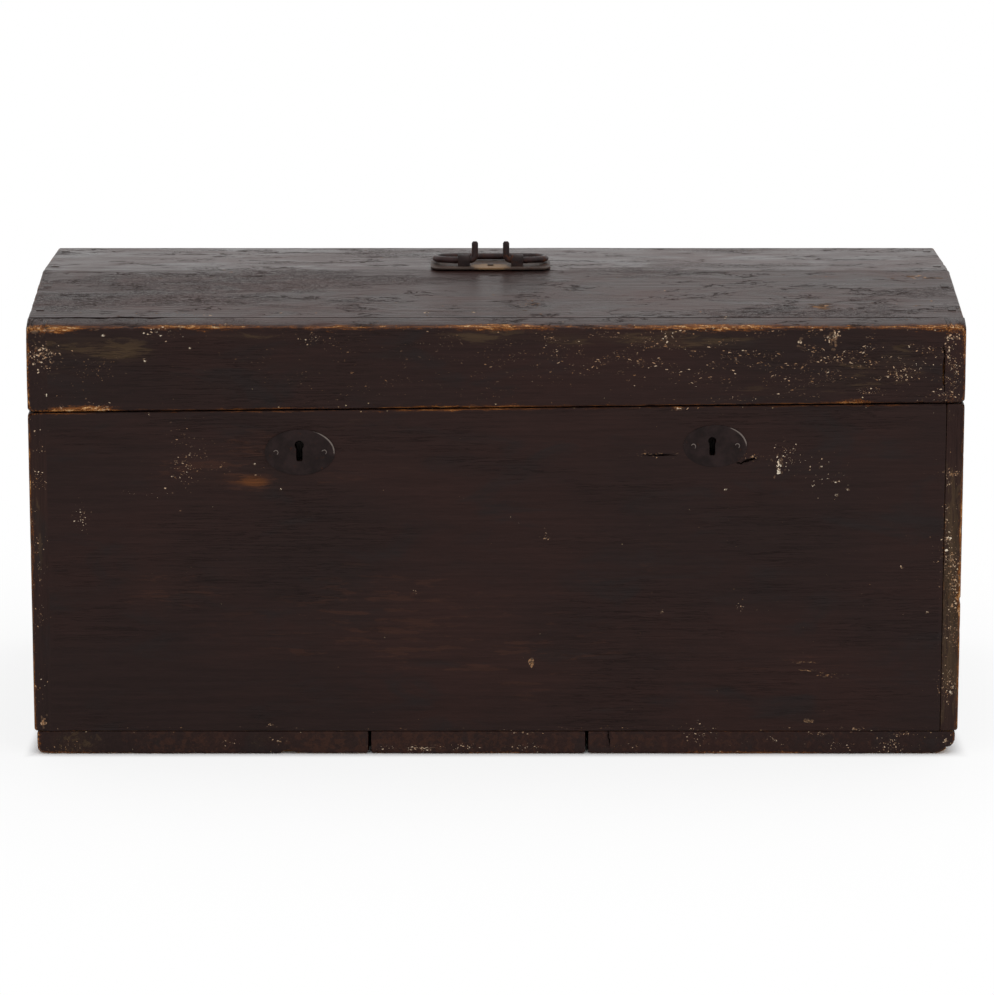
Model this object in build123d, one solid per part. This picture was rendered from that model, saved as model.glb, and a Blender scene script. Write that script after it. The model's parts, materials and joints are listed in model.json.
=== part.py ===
from build123d import *
import math
import os

# A painted pine trunk with a low domed lid of three staves, two locks and an iron bail on the crown.
# Millimetres, +X to the right, +Y to the back, +Z up. The origin is on the floor, under the middle.

# ---------------------------------------------------------------- driving dimensions: the box
LENGTH = 760.0               # outside, over the end boards
DEPTH = 390.0                # outside, front face to back face
SEAM_HEIGHT = 290.0          # floor to the seam between box and lid, at mid length
SEAM_TILT = 0.59             # degrees, the seam climbs to the right
SEAM_GAP = 0.4               # daylight between box and lid when shut
END_T = 15.0                 # end boards of the box
FRONT_T = 16.0               # front board
BACK_T = 17.0                # back board
BOTTOM_T = 19.5              # bottom boards
BOTTOM_INSET = 2.0           # bottom boards stop short of the end faces
BOTTOM_SPLITS = (-104.0, 74.5)   # where one bottom board ends and the next begins
BOTTOM_GAP = 2.0             # shrinkage gap between two bottom boards
CORNER_WEAR = 2.0            # radius of the worn outer corners

# ---------------------------------------------------------------- driving dimensions: the lid
LID_SIDE = 69.0              # seam to the top of the lid's front face, before its corner is worn round
DOME_RISE = 23.5             # top of the lid's front face to the flat crown
RIDGE_FROM_FACE = 134.0      # front face to the ridge between a sloping stave and the crown board
LID_END_T = 17.0             # arched end boards of the lid
RAIL_T = 17.0                # front and back rails of the lid
STAVE_T = 10.0               # staves and crown board
STAVE_GAP = 0.4              # open joint beside a stave
RIDGE_RADIUS = 200.0         # planed ridge
ARRIS_RADIUS = 4.0           # worn top edge of the rails

# ---------------------------------------------------------------- hinges
HINGE_FROM_END = 130.0       # end face to the middle of a hinge
HINGE_W = 26.0
PIN_INSET = 7.0              # hinge pin to the back face
STOP_ANGLE = 105.0           # lid opening at which the two bevels behind the pin meet
PIN_R = 1.75
PIN_CLEARANCE = 0.05
PIN_OVERHANG = 1.5           # pin end beyond the knuckle
PIN_END_CLEARANCE = 1.5      # pin end to the wood
KNUCKLE_R = 3.4
KNUCKLE_CLEARANCE = 0.5      # round the knuckle, in the boards
KNUCKLE_GAP = 0.3            # between neighbouring knuckles
MIDDLE_KNUCKLE = 8.8         # length of the lid's knuckle
STRAP_T = 1.8
BODY_STRAP_LEG = 82.0        # down the inside of the back board
LID_STRAP_LEG = 44.0         # up the inside of the lid's back rail
STRAP_CLEARANCE = 0.2        # beside a strap in its recess
STRAP_FIRST_NAIL = 15.0      # seam to the first nail of a strap
STRAP_END_MARGIN = 8.0       # last nail to the strap's end
BODY_STRAP_NAILS = 3
LID_STRAP_NAILS = 2

# ---------------------------------------------------------------- locks
LOCK_X = (-160.0, 175.0)     # keyholes
ESCUTCHEON_SIDE_STEP = (0.4, 2.4)    # middle of each plate from its keyhole
ESCUTCHEON_DROP = (34.6, 32.9)       # seam to the middle of each plate
ESCUTCHEON_W = (57.0, 52.0)
ESCUTCHEON_H = (38.0, 35.0)
ESCUTCHEON_T = 1.2
ESCUTCHEON_NAIL_SPREAD = (19.6, 17.8)    # nail to the middle of the plate
KEYHOLE_DROP = 28.6          # seam to the middle of the keyhole's round head
KEYHOLE_HEAD_R = (3.8, 3.3)
KEYHOLE_SLOT_W = (5.2, 4.8)
KEYHOLE_SLOT_L = (13.4, 12.0)        # middle of the head to the foot of the slot
KEYHOLE_EASE = 0.4           # the hole in the wood is this much larger all round
LOCK_TOP_DROP = 3.0          # seam to the top of the lock plate
LOCK_FLANGE = 8.0            # lock plate beside the cap, on either side
LOCK_PLATE_H = 56.0
LOCK_PLATE_T = 2.0
LOCK_CAP_W = 62.0
LOCK_CAP_H = 46.0
LOCK_CAP_D = 14.0
LOCK_CAP_WALL = 1.5
LOCK_CAP_DROP = 2.0          # top of the plate to the top of the cap
LOCK_NAIL_MARGIN = 5.0       # nail to the plate's upper and lower edges
BOLT_DROP = 15.0             # seam to the middle of the bolt
BOLT_TAIL_GAP = 0.5          # cap's side wall to the drawn-back bolt
BOLT_H = 5.0
BOLT_D = 4.0
BOLT_TRAVEL = 10.0
BOLT_TIP_X = 5.0             # drawn-back tip of the bolt from the keyhole
TALON_L = 12.0               # the lug that the key's bit pushes
TALON_H = 6.0
TALON_NOTCH = 5.0
TALON_BACK = 14.0            # tip of the bolt to the talon
GUIDE_L = 4.0                # rests under the bolt
GUIDE_H = 3.0
GUIDE_WALL_GAP = 3.5         # cap's side wall to the outer rest
GUIDE_TALON_GAP = 0.5        # talon of the thrown bolt to the inner rest
SLIDE_CLEARANCE = 0.2        # round what slides
SPRING_T = 0.8
SPRING_ARCH = 2.6            # height of the bowed leaf spring over the bolt

# ---------------------------------------------------------------- keepers
TONGUE_X = 9.5               # keyhole to the middle of the keeper's tongue
TONGUE_T = 3.0
TONGUE_W = 10.0              # front to back
TONGUE_WINDOW_W = 6.4        # the window that the bolt enters
TONGUE_WINDOW_H = 7.6
TONGUE_FOOT = 2.2            # iron below the window
TONGUE_SLOT_CLEARANCE = 1.0  # round the tongue, in the lock cap
KEEPER_W = 30.0
KEEPER_H = 30.0
KEEPER_T = 2.0
KEEPER_RISE = 1.5            # keeper above the lid's lower edge
KEEPER_NAIL_SPREAD = 9.0
KEEPER_NAIL_DROP = 10.0      # keeper's top edge to its nails

# ---------------------------------------------------------------- handle
HANDLE_X = -4.7              # middle of the handle
HANDLE_FROM_FACE = 130.0     # front face to the back plate's front edge
HANDLE_PLATE_W = 101.0
HANDLE_PLATE_D = 47.0
HANDLE_PLATE_T = 2.2
HANDLE_PLATE_CORNER = 9.0
BAIL_AXIS_FROM_EDGE = 13.0   # plate's front edge to the bail's pivot axis
BAIL_AXIS_RISE = 4.5         # plate to pivot axis
BAIL_ROD_R = 2.75
BAIL_OUTER_W = 98.0
BAIL_LOOP_D = 29.0           # pivot axis to the grip's centre line
BAIL_END_STRAIGHT = 1.0      # rod between the two bends at an end of the loop
BAIL_POST_X = 13.1           # turned-up ends, from the middle
BAIL_POST_TOP = 15.6         # pivot axis to the top of a turned-up end
BAIL_POST_BEND = 4.0
BAIL_REST_GAP = 0.3          # grip over the plate when it lies back
EYE_GAP = 0.2                # bend of a turned-up end to the staple eye
EYE_W = 10.0
EYE_T = 1.6
EYE_CLEARANCE = 0.3          # round the rod
EYE_SLOT_CLEARANCE = 0.1     # round a leg in plate and board
CLENCH_L = 8.0               # bent-over end of a staple's leg, under the crown board
CLENCH_DROP = 0.8            # under side of the boards to the clench

# ---------------------------------------------------------------- nails
NAIL_SIDE = 3.0              # square shank of the board nails
NAIL_HEAD = 6.5
NAIL_HEAD_T = 1.0
NAIL_L = 42.0
STAVE_NAIL_L = 30.0
TACK_SIDE = 2.0              # square shank of the nails through iron
TACK_HEAD = 5.0
TACK_HEAD_T = 0.8
TACK_L = 11.0
NAIL_CLEARANCE = 0.05
NAIL_END_CLEARANCE = 0.3
NAILS_PER_CORNER = 4
CORNER_NAIL_MARGIN = 32.0    # first and last corner nail from the board's ends
LID_NAIL_MARGIN = 20.0
BOTTOM_NAIL_MARGIN = 30.0    # bottom nails from each bottom board's sides
SIDE_NAILS = 3               # up through a bottom board into an end board
HANDLE_NAILS = ((0.0, 14.0), (-29.0, 27.0), (29.0, 27.0))   # from the plate's front middle

# ---------------------------------------------------------------- worked out
HALF = LENGTH / 2
FRONT_PROUD = ESCUTCHEON_T + TACK_HEAD_T        # iron in front of the front face
FRONT_Y = (FRONT_PROUD - DEPTH) / 2             # the origin stays midway between the outermost points
BACK_Y = FRONT_Y + DEPTH
ARRIS_HEIGHT = SEAM_HEIGHT + LID_SIDE
CROWN_HEIGHT = ARRIS_HEIGHT + DOME_RISE
SLOPE = math.atan2(CROWN_HEIGHT - ARRIS_HEIGHT, RIDGE_FROM_FACE)
PIN_Y = BACK_Y - PIN_INSET
PIN_Z = SEAM_GAP / 2                            # in the seam's frame
HINGE_X = HALF - HINGE_FROM_END
REACH = LENGTH + DEPTH + CROWN_HEIGHT           # longer than anything here
SEAM = Location((0, 0, SEAM_HEIGHT), (0, -SEAM_TILT, 0))     # frame of everything set out from the seam
LOCK_FACE_Y = FRONT_Y + FRONT_T                 # inner face of the front board
BOLT_Y = LOCK_FACE_Y + LOCK_PLATE_T + (LOCK_CAP_D - LOCK_CAP_WALL) / 2
BAIL_AXIS_FROM_FACE = HANDLE_FROM_FACE + BAIL_AXIS_FROM_EDGE
BAIL_AXIS_Y = FRONT_Y + BAIL_AXIS_FROM_FACE
EYE_X = BAIL_POST_X + BAIL_POST_BEND + EYE_GAP + EYE_W / 2
SIDES = ("left", "right")
STAVES = ("lid_front_stave", "lid_crown_board", "lid_rear_stave")

parts = {}


# ---------------------------------------------------------------- small helpers
def block(x, y, z):
    """A box from its lowest and highest value along each axis."""
    size = [high - low for low, high in (x, y, z)]
    middle = [(high + low) / 2 for low, high in (x, y, z)]
    return Pos(*middle) * Box(*size)


def span(middle, width):
    return (middle - width / 2, middle + width / 2)


def prism(points, x):
    """A solid with the given outline in the YZ plane, between two values of X."""
    outline = Plane.YZ * Polyline(*points, close=True)
    solid = extrude(make_face(outline), amount=(x[1] - x[0]) / 2, both=True)
    return Pos((x[0] + x[1]) / 2, 0, 0) * solid


def evenly(low, high, count):
    step = (high - low) / (count - 1)
    return [low + step * i for i in range(count)]


def nail_frame(point, out):
    """The frame of a nail whose head faces out, with its square shank set square to the boards."""
    side = (0, 1, 0) if abs(out[0]) > max(abs(out[1]), abs(out[2])) else (1, 0, 0)
    return Plane(origin=point, x_dir=side, z_dir=out)


def nail(point, out, length=NAIL_L, side=NAIL_SIDE, head=NAIL_HEAD, head_t=NAIL_HEAD_T, flush=True):
    """A wrought nail driven in at a point of a surface, with its head flush or standing on it."""
    top = 0.0 if flush else head_t
    shape = block(span(0, head), span(0, head), (top - head_t, top))
    shape += block(span(0, side), span(0, side), (-length, top - head_t))
    return nail_frame(point, out) * shape


def nail_hole(point, out, length=NAIL_L, side=NAIL_SIDE, head=NAIL_HEAD, head_t=NAIL_HEAD_T, flush=True):
    """The room that a nail takes in the wood and iron that it goes through."""
    wide = side + 2 * NAIL_CLEARANCE
    shape = block(span(0, wide), span(0, wide), (-length - NAIL_END_CLEARANCE, head_t))
    if flush:
        wide = head + 2 * NAIL_CLEARANCE
        shape += block(span(0, wide), span(0, wide), (-head_t - NAIL_CLEARANCE, head_t))
    return nail_frame(point, out) * shape


TACK = dict(length=TACK_L, side=TACK_SIDE, head=TACK_HEAD, head_t=TACK_HEAD_T, flush=False)


def fasten(name, places, nodes, **sizes):
    """One group of like nails, with the holes for them in each node that they go through."""
    parts[name] = Compound([nail(point, out, **sizes) for point, out in places])
    for node in nodes:
        room = parts[node].bounding_box()
        for point, out in places:
            hole = nail_hole(point, out, **sizes)
            near = hole.bounding_box()
            apart = any(
                getattr(near.min, axis) > getattr(room.max, axis)
                or getattr(near.max, axis) < getattr(room.min, axis)
                for axis in "XYZ"
            )
            if not apart:
                parts[node] -= hole


def seam_point(x, y, z):
    """A point given in the seam's frame, in the trunk's own."""
    spot = SEAM * Pos(x, y, z)
    return tuple(spot.position)


def seam_direction(x, y, z):
    spot = SEAM * Pos(x, y, z)
    return tuple(spot.position - SEAM.position)


# ---------------------------------------------------------------- the seam, shared by box and lid
def above_seam():
    """What the box's boards lose: all above the seam and the bevel behind the hinge pins."""
    fall = math.tan(math.radians(STOP_ANGLE / 2))
    far = BACK_Y + PIN_INSET
    bevel = [(PIN_Y, 0), (far, 0), (far, -(far - PIN_Y) * fall)]
    cut = block((-REACH, REACH), (-REACH, REACH), (0, REACH)) + prism(bevel, (-REACH, REACH))
    return SEAM * cut


def below_seam():
    """What the lid's boards lose: all below the seam and their half of the bevel."""
    rise = math.tan(math.radians(STOP_ANGLE / 2))
    far = BACK_Y + PIN_INSET
    bevel = [(PIN_Y, SEAM_GAP), (far, SEAM_GAP), (far, SEAM_GAP + (far - PIN_Y) * rise)]
    cut = block((-REACH, REACH), (-REACH, REACH), (-REACH, SEAM_GAP)) + prism(bevel, (-REACH, REACH))
    return SEAM * cut


# ---------------------------------------------------------------- the box
def upright_end(x):
    board = block(x, (FRONT_Y, BACK_Y), (BOTTOM_T, ARRIS_HEIGHT))
    outside = max(x, key=abs)
    corners = [
        edge for edge in board.edges().filter_by(Axis.Z) if abs(edge.center().X - outside) < CORNER_WEAR
    ]
    return fillet(corners, CORNER_WEAR)


def make_box():
    above = above_seam()
    inside = HALF - END_T
    tall = (BOTTOM_T, ARRIS_HEIGHT)
    parts["front_board"] = block((-inside, inside), (FRONT_Y, FRONT_Y + FRONT_T), tall) - above
    parts["back_board"] = block((-inside, inside), (BACK_Y - BACK_T, BACK_Y), tall) - above
    parts["left_end_board"] = upright_end((-HALF, -inside)) - above
    parts["right_end_board"] = upright_end((inside, HALF)) - above
    limits = [-HALF + BOTTOM_INSET, *BOTTOM_SPLITS, HALF - BOTTOM_INSET]
    for place, name in enumerate(("left", "middle", "right")):
        low = limits[place] + (BOTTOM_GAP / 2 if place > 0 else 0)
        high = limits[place + 1] - (BOTTOM_GAP / 2 if place < 2 else 0)
        parts[name + "_bottom_board"] = block((low, high), (FRONT_Y, BACK_Y), (0, BOTTOM_T))


def nail_box():
    """Nails through the end boards into front and back, and up through the bottom boards."""
    walls = (FRONT_Y + FRONT_T / 2, BACK_Y - BACK_T / 2)
    for side, sign in zip(SIDES, (-1, 1)):
        top = SEAM_HEIGHT + sign * HALF * math.tan(math.radians(SEAM_TILT)) - CORNER_NAIL_MARGIN
        heights = evenly(BOTTOM_T + CORNER_NAIL_MARGIN, top, NAILS_PER_CORNER)
        places = [((sign * HALF, y, z), (sign, 0, 0)) for y in walls for z in heights]
        fasten(side + "_corner_nails", places, (side + "_end_board", "front_board", "back_board"))
    limits = [-HALF + BOTTOM_INSET, *BOTTOM_SPLITS, HALF - BOTTOM_INSET]
    bottom = ("left_bottom_board", "middle_bottom_board", "right_bottom_board")
    places = []
    for low, high in zip(limits[:-1], limits[1:]):
        for x in evenly(low + BOTTOM_NAIL_MARGIN, high - BOTTOM_NAIL_MARGIN, SIDE_NAILS):
            places += [((x, y, 0), (0, 0, -1)) for y in walls]
    for x in (END_T / 2 - HALF, HALF - END_T / 2):
        inner = (walls[0] + 2 * BOTTOM_NAIL_MARGIN, walls[1] - 2 * BOTTOM_NAIL_MARGIN)
        places += [((x, y, 0), (0, 0, -1)) for y in evenly(*inner, SIDE_NAILS)]
    walled = ("front_board", "back_board", "left_end_board", "right_end_board")
    fasten("bottom_nails", places, bottom + walled)


# ---------------------------------------------------------------- the lid
def roof(from_face, sink=0.0):
    """Height and forward tilt of the lid's outer surface, or of one sunk square to it."""
    near = min(from_face, DEPTH - from_face)
    slope_z = ARRIS_HEIGHT - sink / math.cos(SLOPE)
    crown_z = CROWN_HEIGHT - sink
    radius = RIDGE_RADIUS - sink
    bend = radius * math.tan(SLOPE / 2)
    ridge = (crown_z - slope_z) / math.tan(SLOPE)
    into = ridge + bend - near
    if into <= 0:
        height, tilt = crown_z, 0.0
    elif into >= radius * math.sin(SLOPE):
        height, tilt = slope_z + near * math.tan(SLOPE), SLOPE
    else:
        tilt = math.asin(into / radius)
        height = crown_z - radius * (1 - math.cos(tilt))
    return height, (tilt if from_face < DEPTH / 2 else -tilt)


def dome(sink):
    """All that lies under the lid's outer surface, or under one sunk square to it by the given depth."""
    slope_z = ARRIS_HEIGHT - sink / math.cos(SLOPE)
    crown_z = CROWN_HEIGHT - sink
    ridge = (crown_z - slope_z) / math.tan(SLOPE)
    path = FilletPolyline(
        (FRONT_Y, 0),
        (FRONT_Y, slope_z),
        (FRONT_Y + ridge, crown_z),
        (BACK_Y - ridge, crown_z),
        (BACK_Y, slope_z),
        (BACK_Y, 0),
        radius=[ARRIS_RADIUS, RIDGE_RADIUS - sink, RIDGE_RADIUS - sink, ARRIS_RADIUS],
    )
    outline = Plane.YZ * (path + Line((BACK_Y, 0), (FRONT_Y, 0)))
    return extrude(make_face(outline), amount=HALF, both=True)


def make_lid():
    below = below_seam()
    under = dome(0)
    between = (FRONT_Y + RAIL_T, BACK_Y - RAIL_T)
    shell = under - dome(STAVE_T)
    seat = shell & block((-REACH, REACH), between, (0, REACH))
    inside = HALF - LID_END_T
    full = (0, REACH)
    front = (FRONT_Y, between[0])
    back = (between[1], BACK_Y)
    parts["lid_front_rail"] = (under & block((-inside, inside), front, full)) - below
    parts["lid_back_rail"] = (under & block((-inside, inside), back, full)) - below
    for side, x in zip(SIDES, ((-HALF, -inside), (inside, HALF))):
        end = under & block(x, (-REACH, REACH), full)
        parts["lid_" + side + "_end"] = end - seat - below
    joints = (between[0], FRONT_Y + RIDGE_FROM_FACE, BACK_Y - RIDGE_FROM_FACE, between[1])
    for name, low, high in zip(STAVES, joints, joints[1:]):
        width = (low + STAVE_GAP / 2, high - STAVE_GAP / 2)
        parts[name] = shell & block((-REACH, REACH), width, full)


def nail_lid():
    """Nails through the lid's ends into its rails, and down through the staves into the ends."""
    rails = (FRONT_Y + RAIL_T / 2, BACK_Y - RAIL_T / 2)
    for side, sign in zip(SIDES, (-1, 1)):
        foot = SEAM_HEIGHT + sign * HALF * math.tan(math.radians(SEAM_TILT))
        heights = (foot + LID_NAIL_MARGIN, ARRIS_HEIGHT - LID_NAIL_MARGIN)
        places = [((sign * HALF, y, z), (sign, 0, 0)) for y in rails for z in heights]
        end = "lid_" + side + "_end"
        fasten("lid_" + side + "_corner_nails", places, (end, "lid_front_rail", "lid_back_rail"))
    half_way = (
        RAIL_T + LID_NAIL_MARGIN,
        RIDGE_FROM_FACE - 2 * LID_NAIL_MARGIN,
        RIDGE_FROM_FACE + LID_NAIL_MARGIN,
    )
    places = []
    for x in (LID_END_T / 2 - HALF, HALF - LID_END_T / 2):
        for from_face in half_way + tuple(DEPTH - reach for reach in half_way):
            height, tilt = roof(from_face)
            places.append(((x, FRONT_Y + from_face, height), (0, -math.sin(tilt), math.cos(tilt))))
    fasten("stave_nails", places, STAVES + ("lid_left_end", "lid_right_end"), length=STAVE_NAIL_L)


# ---------------------------------------------------------------- hinges
def knuckle(x):
    """A length of the hinge's barrel, in the seam's frame."""
    barrel = Rot(0, 90, 0) * Cylinder(KNUCKLE_R, x[1] - x[0])
    return Pos((x[0] + x[1]) / 2, PIN_Y, PIN_Z) * barrel


def strap(x, knuckles, board_t, leg, up):
    """A strap that lies on a board's edge behind the pin and turns along the board's inner face."""
    root = PIN_Y - KNUCKLE_R - KNUCKLE_CLEARANCE
    face = BACK_Y - board_t
    flat_z = (SEAM_GAP, SEAM_GAP + STRAP_T) if up else (-STRAP_T, 0)
    leg_z = (SEAM_GAP, SEAM_GAP + leg) if up else (-leg, 0)
    shape = block(span(x, HINGE_W), (face - STRAP_T, root), flat_z)
    shape += block(span(x, HINGE_W), (face - STRAP_T, face), leg_z)
    for part in knuckles:
        shape += block(part, (root, PIN_Y), flat_z)
        shape += knuckle(part)
    bore = Pos(x, PIN_Y, PIN_Z) * (Rot(0, 90, 0) * Cylinder(PIN_R + PIN_CLEARANCE, 2 * HINGE_W))
    return shape - bore


def make_hinges():
    for side, x in zip(SIDES, (-HINGE_X, HINGE_X)):
        ends = span(x, HINGE_W)
        middle = span(x, MIDDLE_KNUCKLE)
        outer = [(ends[0], middle[0] - KNUCKLE_GAP), (middle[1] + KNUCKLE_GAP, ends[1])]
        parts[side + "_hinge_body_strap"] = SEAM * strap(x, outer, BACK_T, BODY_STRAP_LEG, False)
        parts[side + "_hinge_lid_strap"] = SEAM * strap(x, [middle], RAIL_T, LID_STRAP_LEG, True)
        pin = Rot(0, 90, 0) * Cylinder(PIN_R, HINGE_W + 2 * PIN_OVERHANG)
        parts[side + "_hinge_pin"] = SEAM * (Pos(x, PIN_Y, PIN_Z) * pin)
        wide = span(x, HINGE_W + 2 * STRAP_CLEARANCE)
        long = span(x, HINGE_W + 2 * (PIN_OVERHANG + PIN_END_CLEARANCE))
        hollow = Rot(0, 90, 0) * Cylinder(KNUCKLE_R + KNUCKLE_CLEARANCE, long[1] - long[0])
        hollow = Pos(x, PIN_Y, PIN_Z) * hollow
        body_seat = block(wide, (BACK_Y - BACK_T, PIN_Y), (-STRAP_T, SEAM_GAP)) + hollow
        lid_seat = block(wide, (BACK_Y - RAIL_T, PIN_Y), (0, SEAM_GAP + STRAP_T)) + hollow
        parts["back_board"] -= SEAM * body_seat
        parts["lid_back_rail"] -= SEAM * lid_seat
        body_places = []
        for drop in evenly(STRAP_FIRST_NAIL, BODY_STRAP_LEG - STRAP_END_MARGIN, BODY_STRAP_NAILS):
            spot = seam_point(x, BACK_Y - BACK_T - STRAP_T, -drop)
            body_places.append((spot, (0, -1, 0)))
        fasten(side + "_body_strap_nails", body_places, (side + "_hinge_body_strap", "back_board"), **TACK)
        lid_places = []
        for rise in evenly(STRAP_FIRST_NAIL, LID_STRAP_LEG - STRAP_END_MARGIN, LID_STRAP_NAILS):
            spot = seam_point(x, BACK_Y - RAIL_T - STRAP_T, SEAM_GAP + rise)
            lid_places.append((spot, (0, -1, 0)))
        fasten(side + "_lid_strap_nails", lid_places, (side + "_hinge_lid_strap", "lid_back_rail"), **TACK)


# ---------------------------------------------------------------- locks and keepers
def keyhole(place, y, ease):
    """A round head over a slot, cut through between two values of Y, in the seam's frame."""
    x = LOCK_X[place]
    head = Pos(x, (y[0] + y[1]) / 2, -KEYHOLE_DROP) * (
        Rot(90, 0, 0) * Cylinder(KEYHOLE_HEAD_R[place] + ease, y[1] - y[0])
    )
    foot = -KEYHOLE_DROP - KEYHOLE_SLOT_L[place] - ease
    return head + block(span(x, KEYHOLE_SLOT_W[place] + 2 * ease), y, (foot, -KEYHOLE_DROP))


def make_escutcheon(place, side):
    x = LOCK_X[place] + ESCUTCHEON_SIDE_STEP[place]
    drop = ESCUTCHEON_DROP[place]
    oval = Plane.XZ * Ellipse(ESCUTCHEON_W[place] / 2, ESCUTCHEON_H[place] / 2)
    plate = Pos(x, FRONT_Y, -drop) * extrude(oval, amount=ESCUTCHEON_T)
    through = (FRONT_Y - 2 * ESCUTCHEON_T, FRONT_Y + ESCUTCHEON_T)
    parts[side + "_escutcheon"] = SEAM * (plate - keyhole(place, through, 0))
    wood = (FRONT_Y - FRONT_T, FRONT_Y + 2 * FRONT_T)
    parts["front_board"] -= SEAM * keyhole(place, wood, KEYHOLE_EASE)
    places = []
    for step in (-ESCUTCHEON_NAIL_SPREAD[place], ESCUTCHEON_NAIL_SPREAD[place]):
        places.append((seam_point(x + step, FRONT_Y - ESCUTCHEON_T, -drop), (0, -1, 0)))
    fasten(side + "_escutcheon_nails", places, (side + "_escutcheon", "front_board"), **TACK)


def make_lock(place, side):
    """Plate, cap, bolt and spring on the inner face of the front board, in the seam's frame."""
    x = LOCK_X[place]
    plate_y = (LOCK_FACE_Y, LOCK_FACE_Y + LOCK_PLATE_T)
    plate_top = -LOCK_TOP_DROP
    plate_w = LOCK_CAP_W + 2 * LOCK_FLANGE
    plate = block(span(x, plate_w), plate_y, (plate_top - LOCK_PLATE_H, plate_top))
    plate -= keyhole(place, (plate_y[0] - LOCK_PLATE_T, plate_y[1] + LOCK_PLATE_T), KEYHOLE_EASE)
    wall = x - LOCK_CAP_W / 2 + LOCK_CAP_WALL
    tip = x + BOLT_TIP_X
    bolt_z = span(-BOLT_DROP, BOLT_H)
    for guide in (wall + GUIDE_WALL_GAP, tip - TALON_BACK + BOLT_TRAVEL + GUIDE_TALON_GAP):
        guide_y = (plate_y[1], BOLT_Y + BOLT_D / 2)
        guide_z = (bolt_z[0] - SLIDE_CLEARANCE - GUIDE_H, bolt_z[0] - SLIDE_CLEARANCE)
        plate += block((guide, guide + GUIDE_L), guide_y, guide_z)
    parts[side + "_lock_plate"] = SEAM * plate

    cap_top = plate_top - LOCK_CAP_DROP
    cap_y = (plate_y[1], plate_y[1] + LOCK_CAP_D)
    cap_z = (cap_top - LOCK_CAP_H, cap_top)
    cap = block(span(x, LOCK_CAP_W), cap_y, cap_z)
    hollow_y = (cap_y[0], cap_y[1] - LOCK_CAP_WALL)
    hollow_z = (cap_z[0] + LOCK_CAP_WALL, cap_z[1] - LOCK_CAP_WALL)
    cap -= block(span(x, LOCK_CAP_W - 2 * LOCK_CAP_WALL), hollow_y, hollow_z)
    slot_x = span(x + TONGUE_X, TONGUE_T + 2 * TONGUE_SLOT_CLEARANCE)
    slot_y = span(BOLT_Y, TONGUE_W + 2 * TONGUE_SLOT_CLEARANCE)
    cap -= block(slot_x, slot_y, (cap_z[1] - 2 * LOCK_CAP_WALL, cap_z[1] + LOCK_CAP_WALL))
    parts[side + "_lock_cap"] = SEAM * cap

    bolt = block((wall + BOLT_TAIL_GAP, tip), span(BOLT_Y, BOLT_D), bolt_z)
    talon_x = (tip - TALON_BACK - TALON_L, tip - TALON_BACK)
    talon_z = (bolt_z[0] - TALON_H, bolt_z[0])
    bolt += block(talon_x, span(BOLT_Y, BOLT_D), talon_z)
    notch = span((talon_x[0] + talon_x[1]) / 2, TALON_NOTCH)
    bolt -= block(notch, span(BOLT_Y, 2 * BOLT_D), talon_z)
    parts[side + "_lock_bolt"] = SEAM * bolt

    low = bolt_z[1] + SLIDE_CLEARANCE
    crest = (wall + tip) / 2 - BOLT_TRAVEL / 2
    bow = ThreePointArc((wall, low), ((wall + crest) / 2, low + SPRING_ARCH), (crest, low))
    under = Plane.XZ * bow
    over = Plane.XZ * ThreePointArc(
        (wall, low + SPRING_T), ((wall + crest) / 2, low + SPRING_ARCH + SPRING_T), (crest, low + SPRING_T)
    )
    ends = Plane.XZ * (
        Line((wall, low), (wall, low + SPRING_T)) + Line((crest, low), (crest, low + SPRING_T))
    )
    leaf = extrude(make_face(under.edges() + over.edges() + ends.edges()), amount=BOLT_D / 2, both=True)
    parts[side + "_lock_spring"] = SEAM * (Pos(0, BOLT_Y, 0) * leaf)

    places = []
    for nail_x in span(x, LOCK_CAP_W + LOCK_FLANGE):
        for nail_z in (plate_top - LOCK_NAIL_MARGIN, plate_top - LOCK_PLATE_H + LOCK_NAIL_MARGIN):
            places.append((seam_point(nail_x, plate_y[1], nail_z), (0, 1, 0)))
    fasten(side + "_lock_nails", places, (side + "_lock_plate", "front_board"), **TACK)


def make_keeper(place, side):
    """A flanged plate on the lid's front rail, with the windowed tongue that drops into the lock."""
    x = LOCK_X[place] + TONGUE_X
    face = FRONT_Y + RAIL_T
    foot = SEAM_GAP + KEEPER_RISE
    shape = block(span(x, KEEPER_W), (face, face + KEEPER_T), (foot, foot + KEEPER_H))
    shelf_y = (face, BOLT_Y + TONGUE_W / 2)
    shape += block(span(x, TONGUE_W), shelf_y, (foot, foot + KEEPER_T))
    window_z = span(-BOLT_DROP, TONGUE_WINDOW_H)
    tongue_z = (window_z[0] - TONGUE_FOOT, foot + KEEPER_T)
    shape += block(span(x, TONGUE_T), span(BOLT_Y, TONGUE_W), tongue_z)
    shape -= block(span(x, 2 * TONGUE_T), span(BOLT_Y, TONGUE_WINDOW_W), window_z)
    parts[side + "_keeper"] = SEAM * shape
    places = []
    for step in (-KEEPER_NAIL_SPREAD, KEEPER_NAIL_SPREAD):
        spot = seam_point(x + step, face + KEEPER_T, foot + KEEPER_H - KEEPER_NAIL_DROP)
        places.append((spot, (0, 1, 0)))
    fasten(side + "_keeper_nails", places, (side + "_keeper", "lid_front_rail"), **TACK)


# ---------------------------------------------------------------- handle
def handle_seat():
    """Height of the back plate's under side, which lies flat on the highest wood that it covers."""
    back_edge = HANDLE_FROM_FACE + HANDLE_PLATE_D
    return roof(min(back_edge, max(HANDLE_FROM_FACE, DEPTH / 2)))[0]


BAIL_AXIS_Z = handle_seat() + HANDLE_PLATE_T + BAIL_AXIS_RISE


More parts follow.
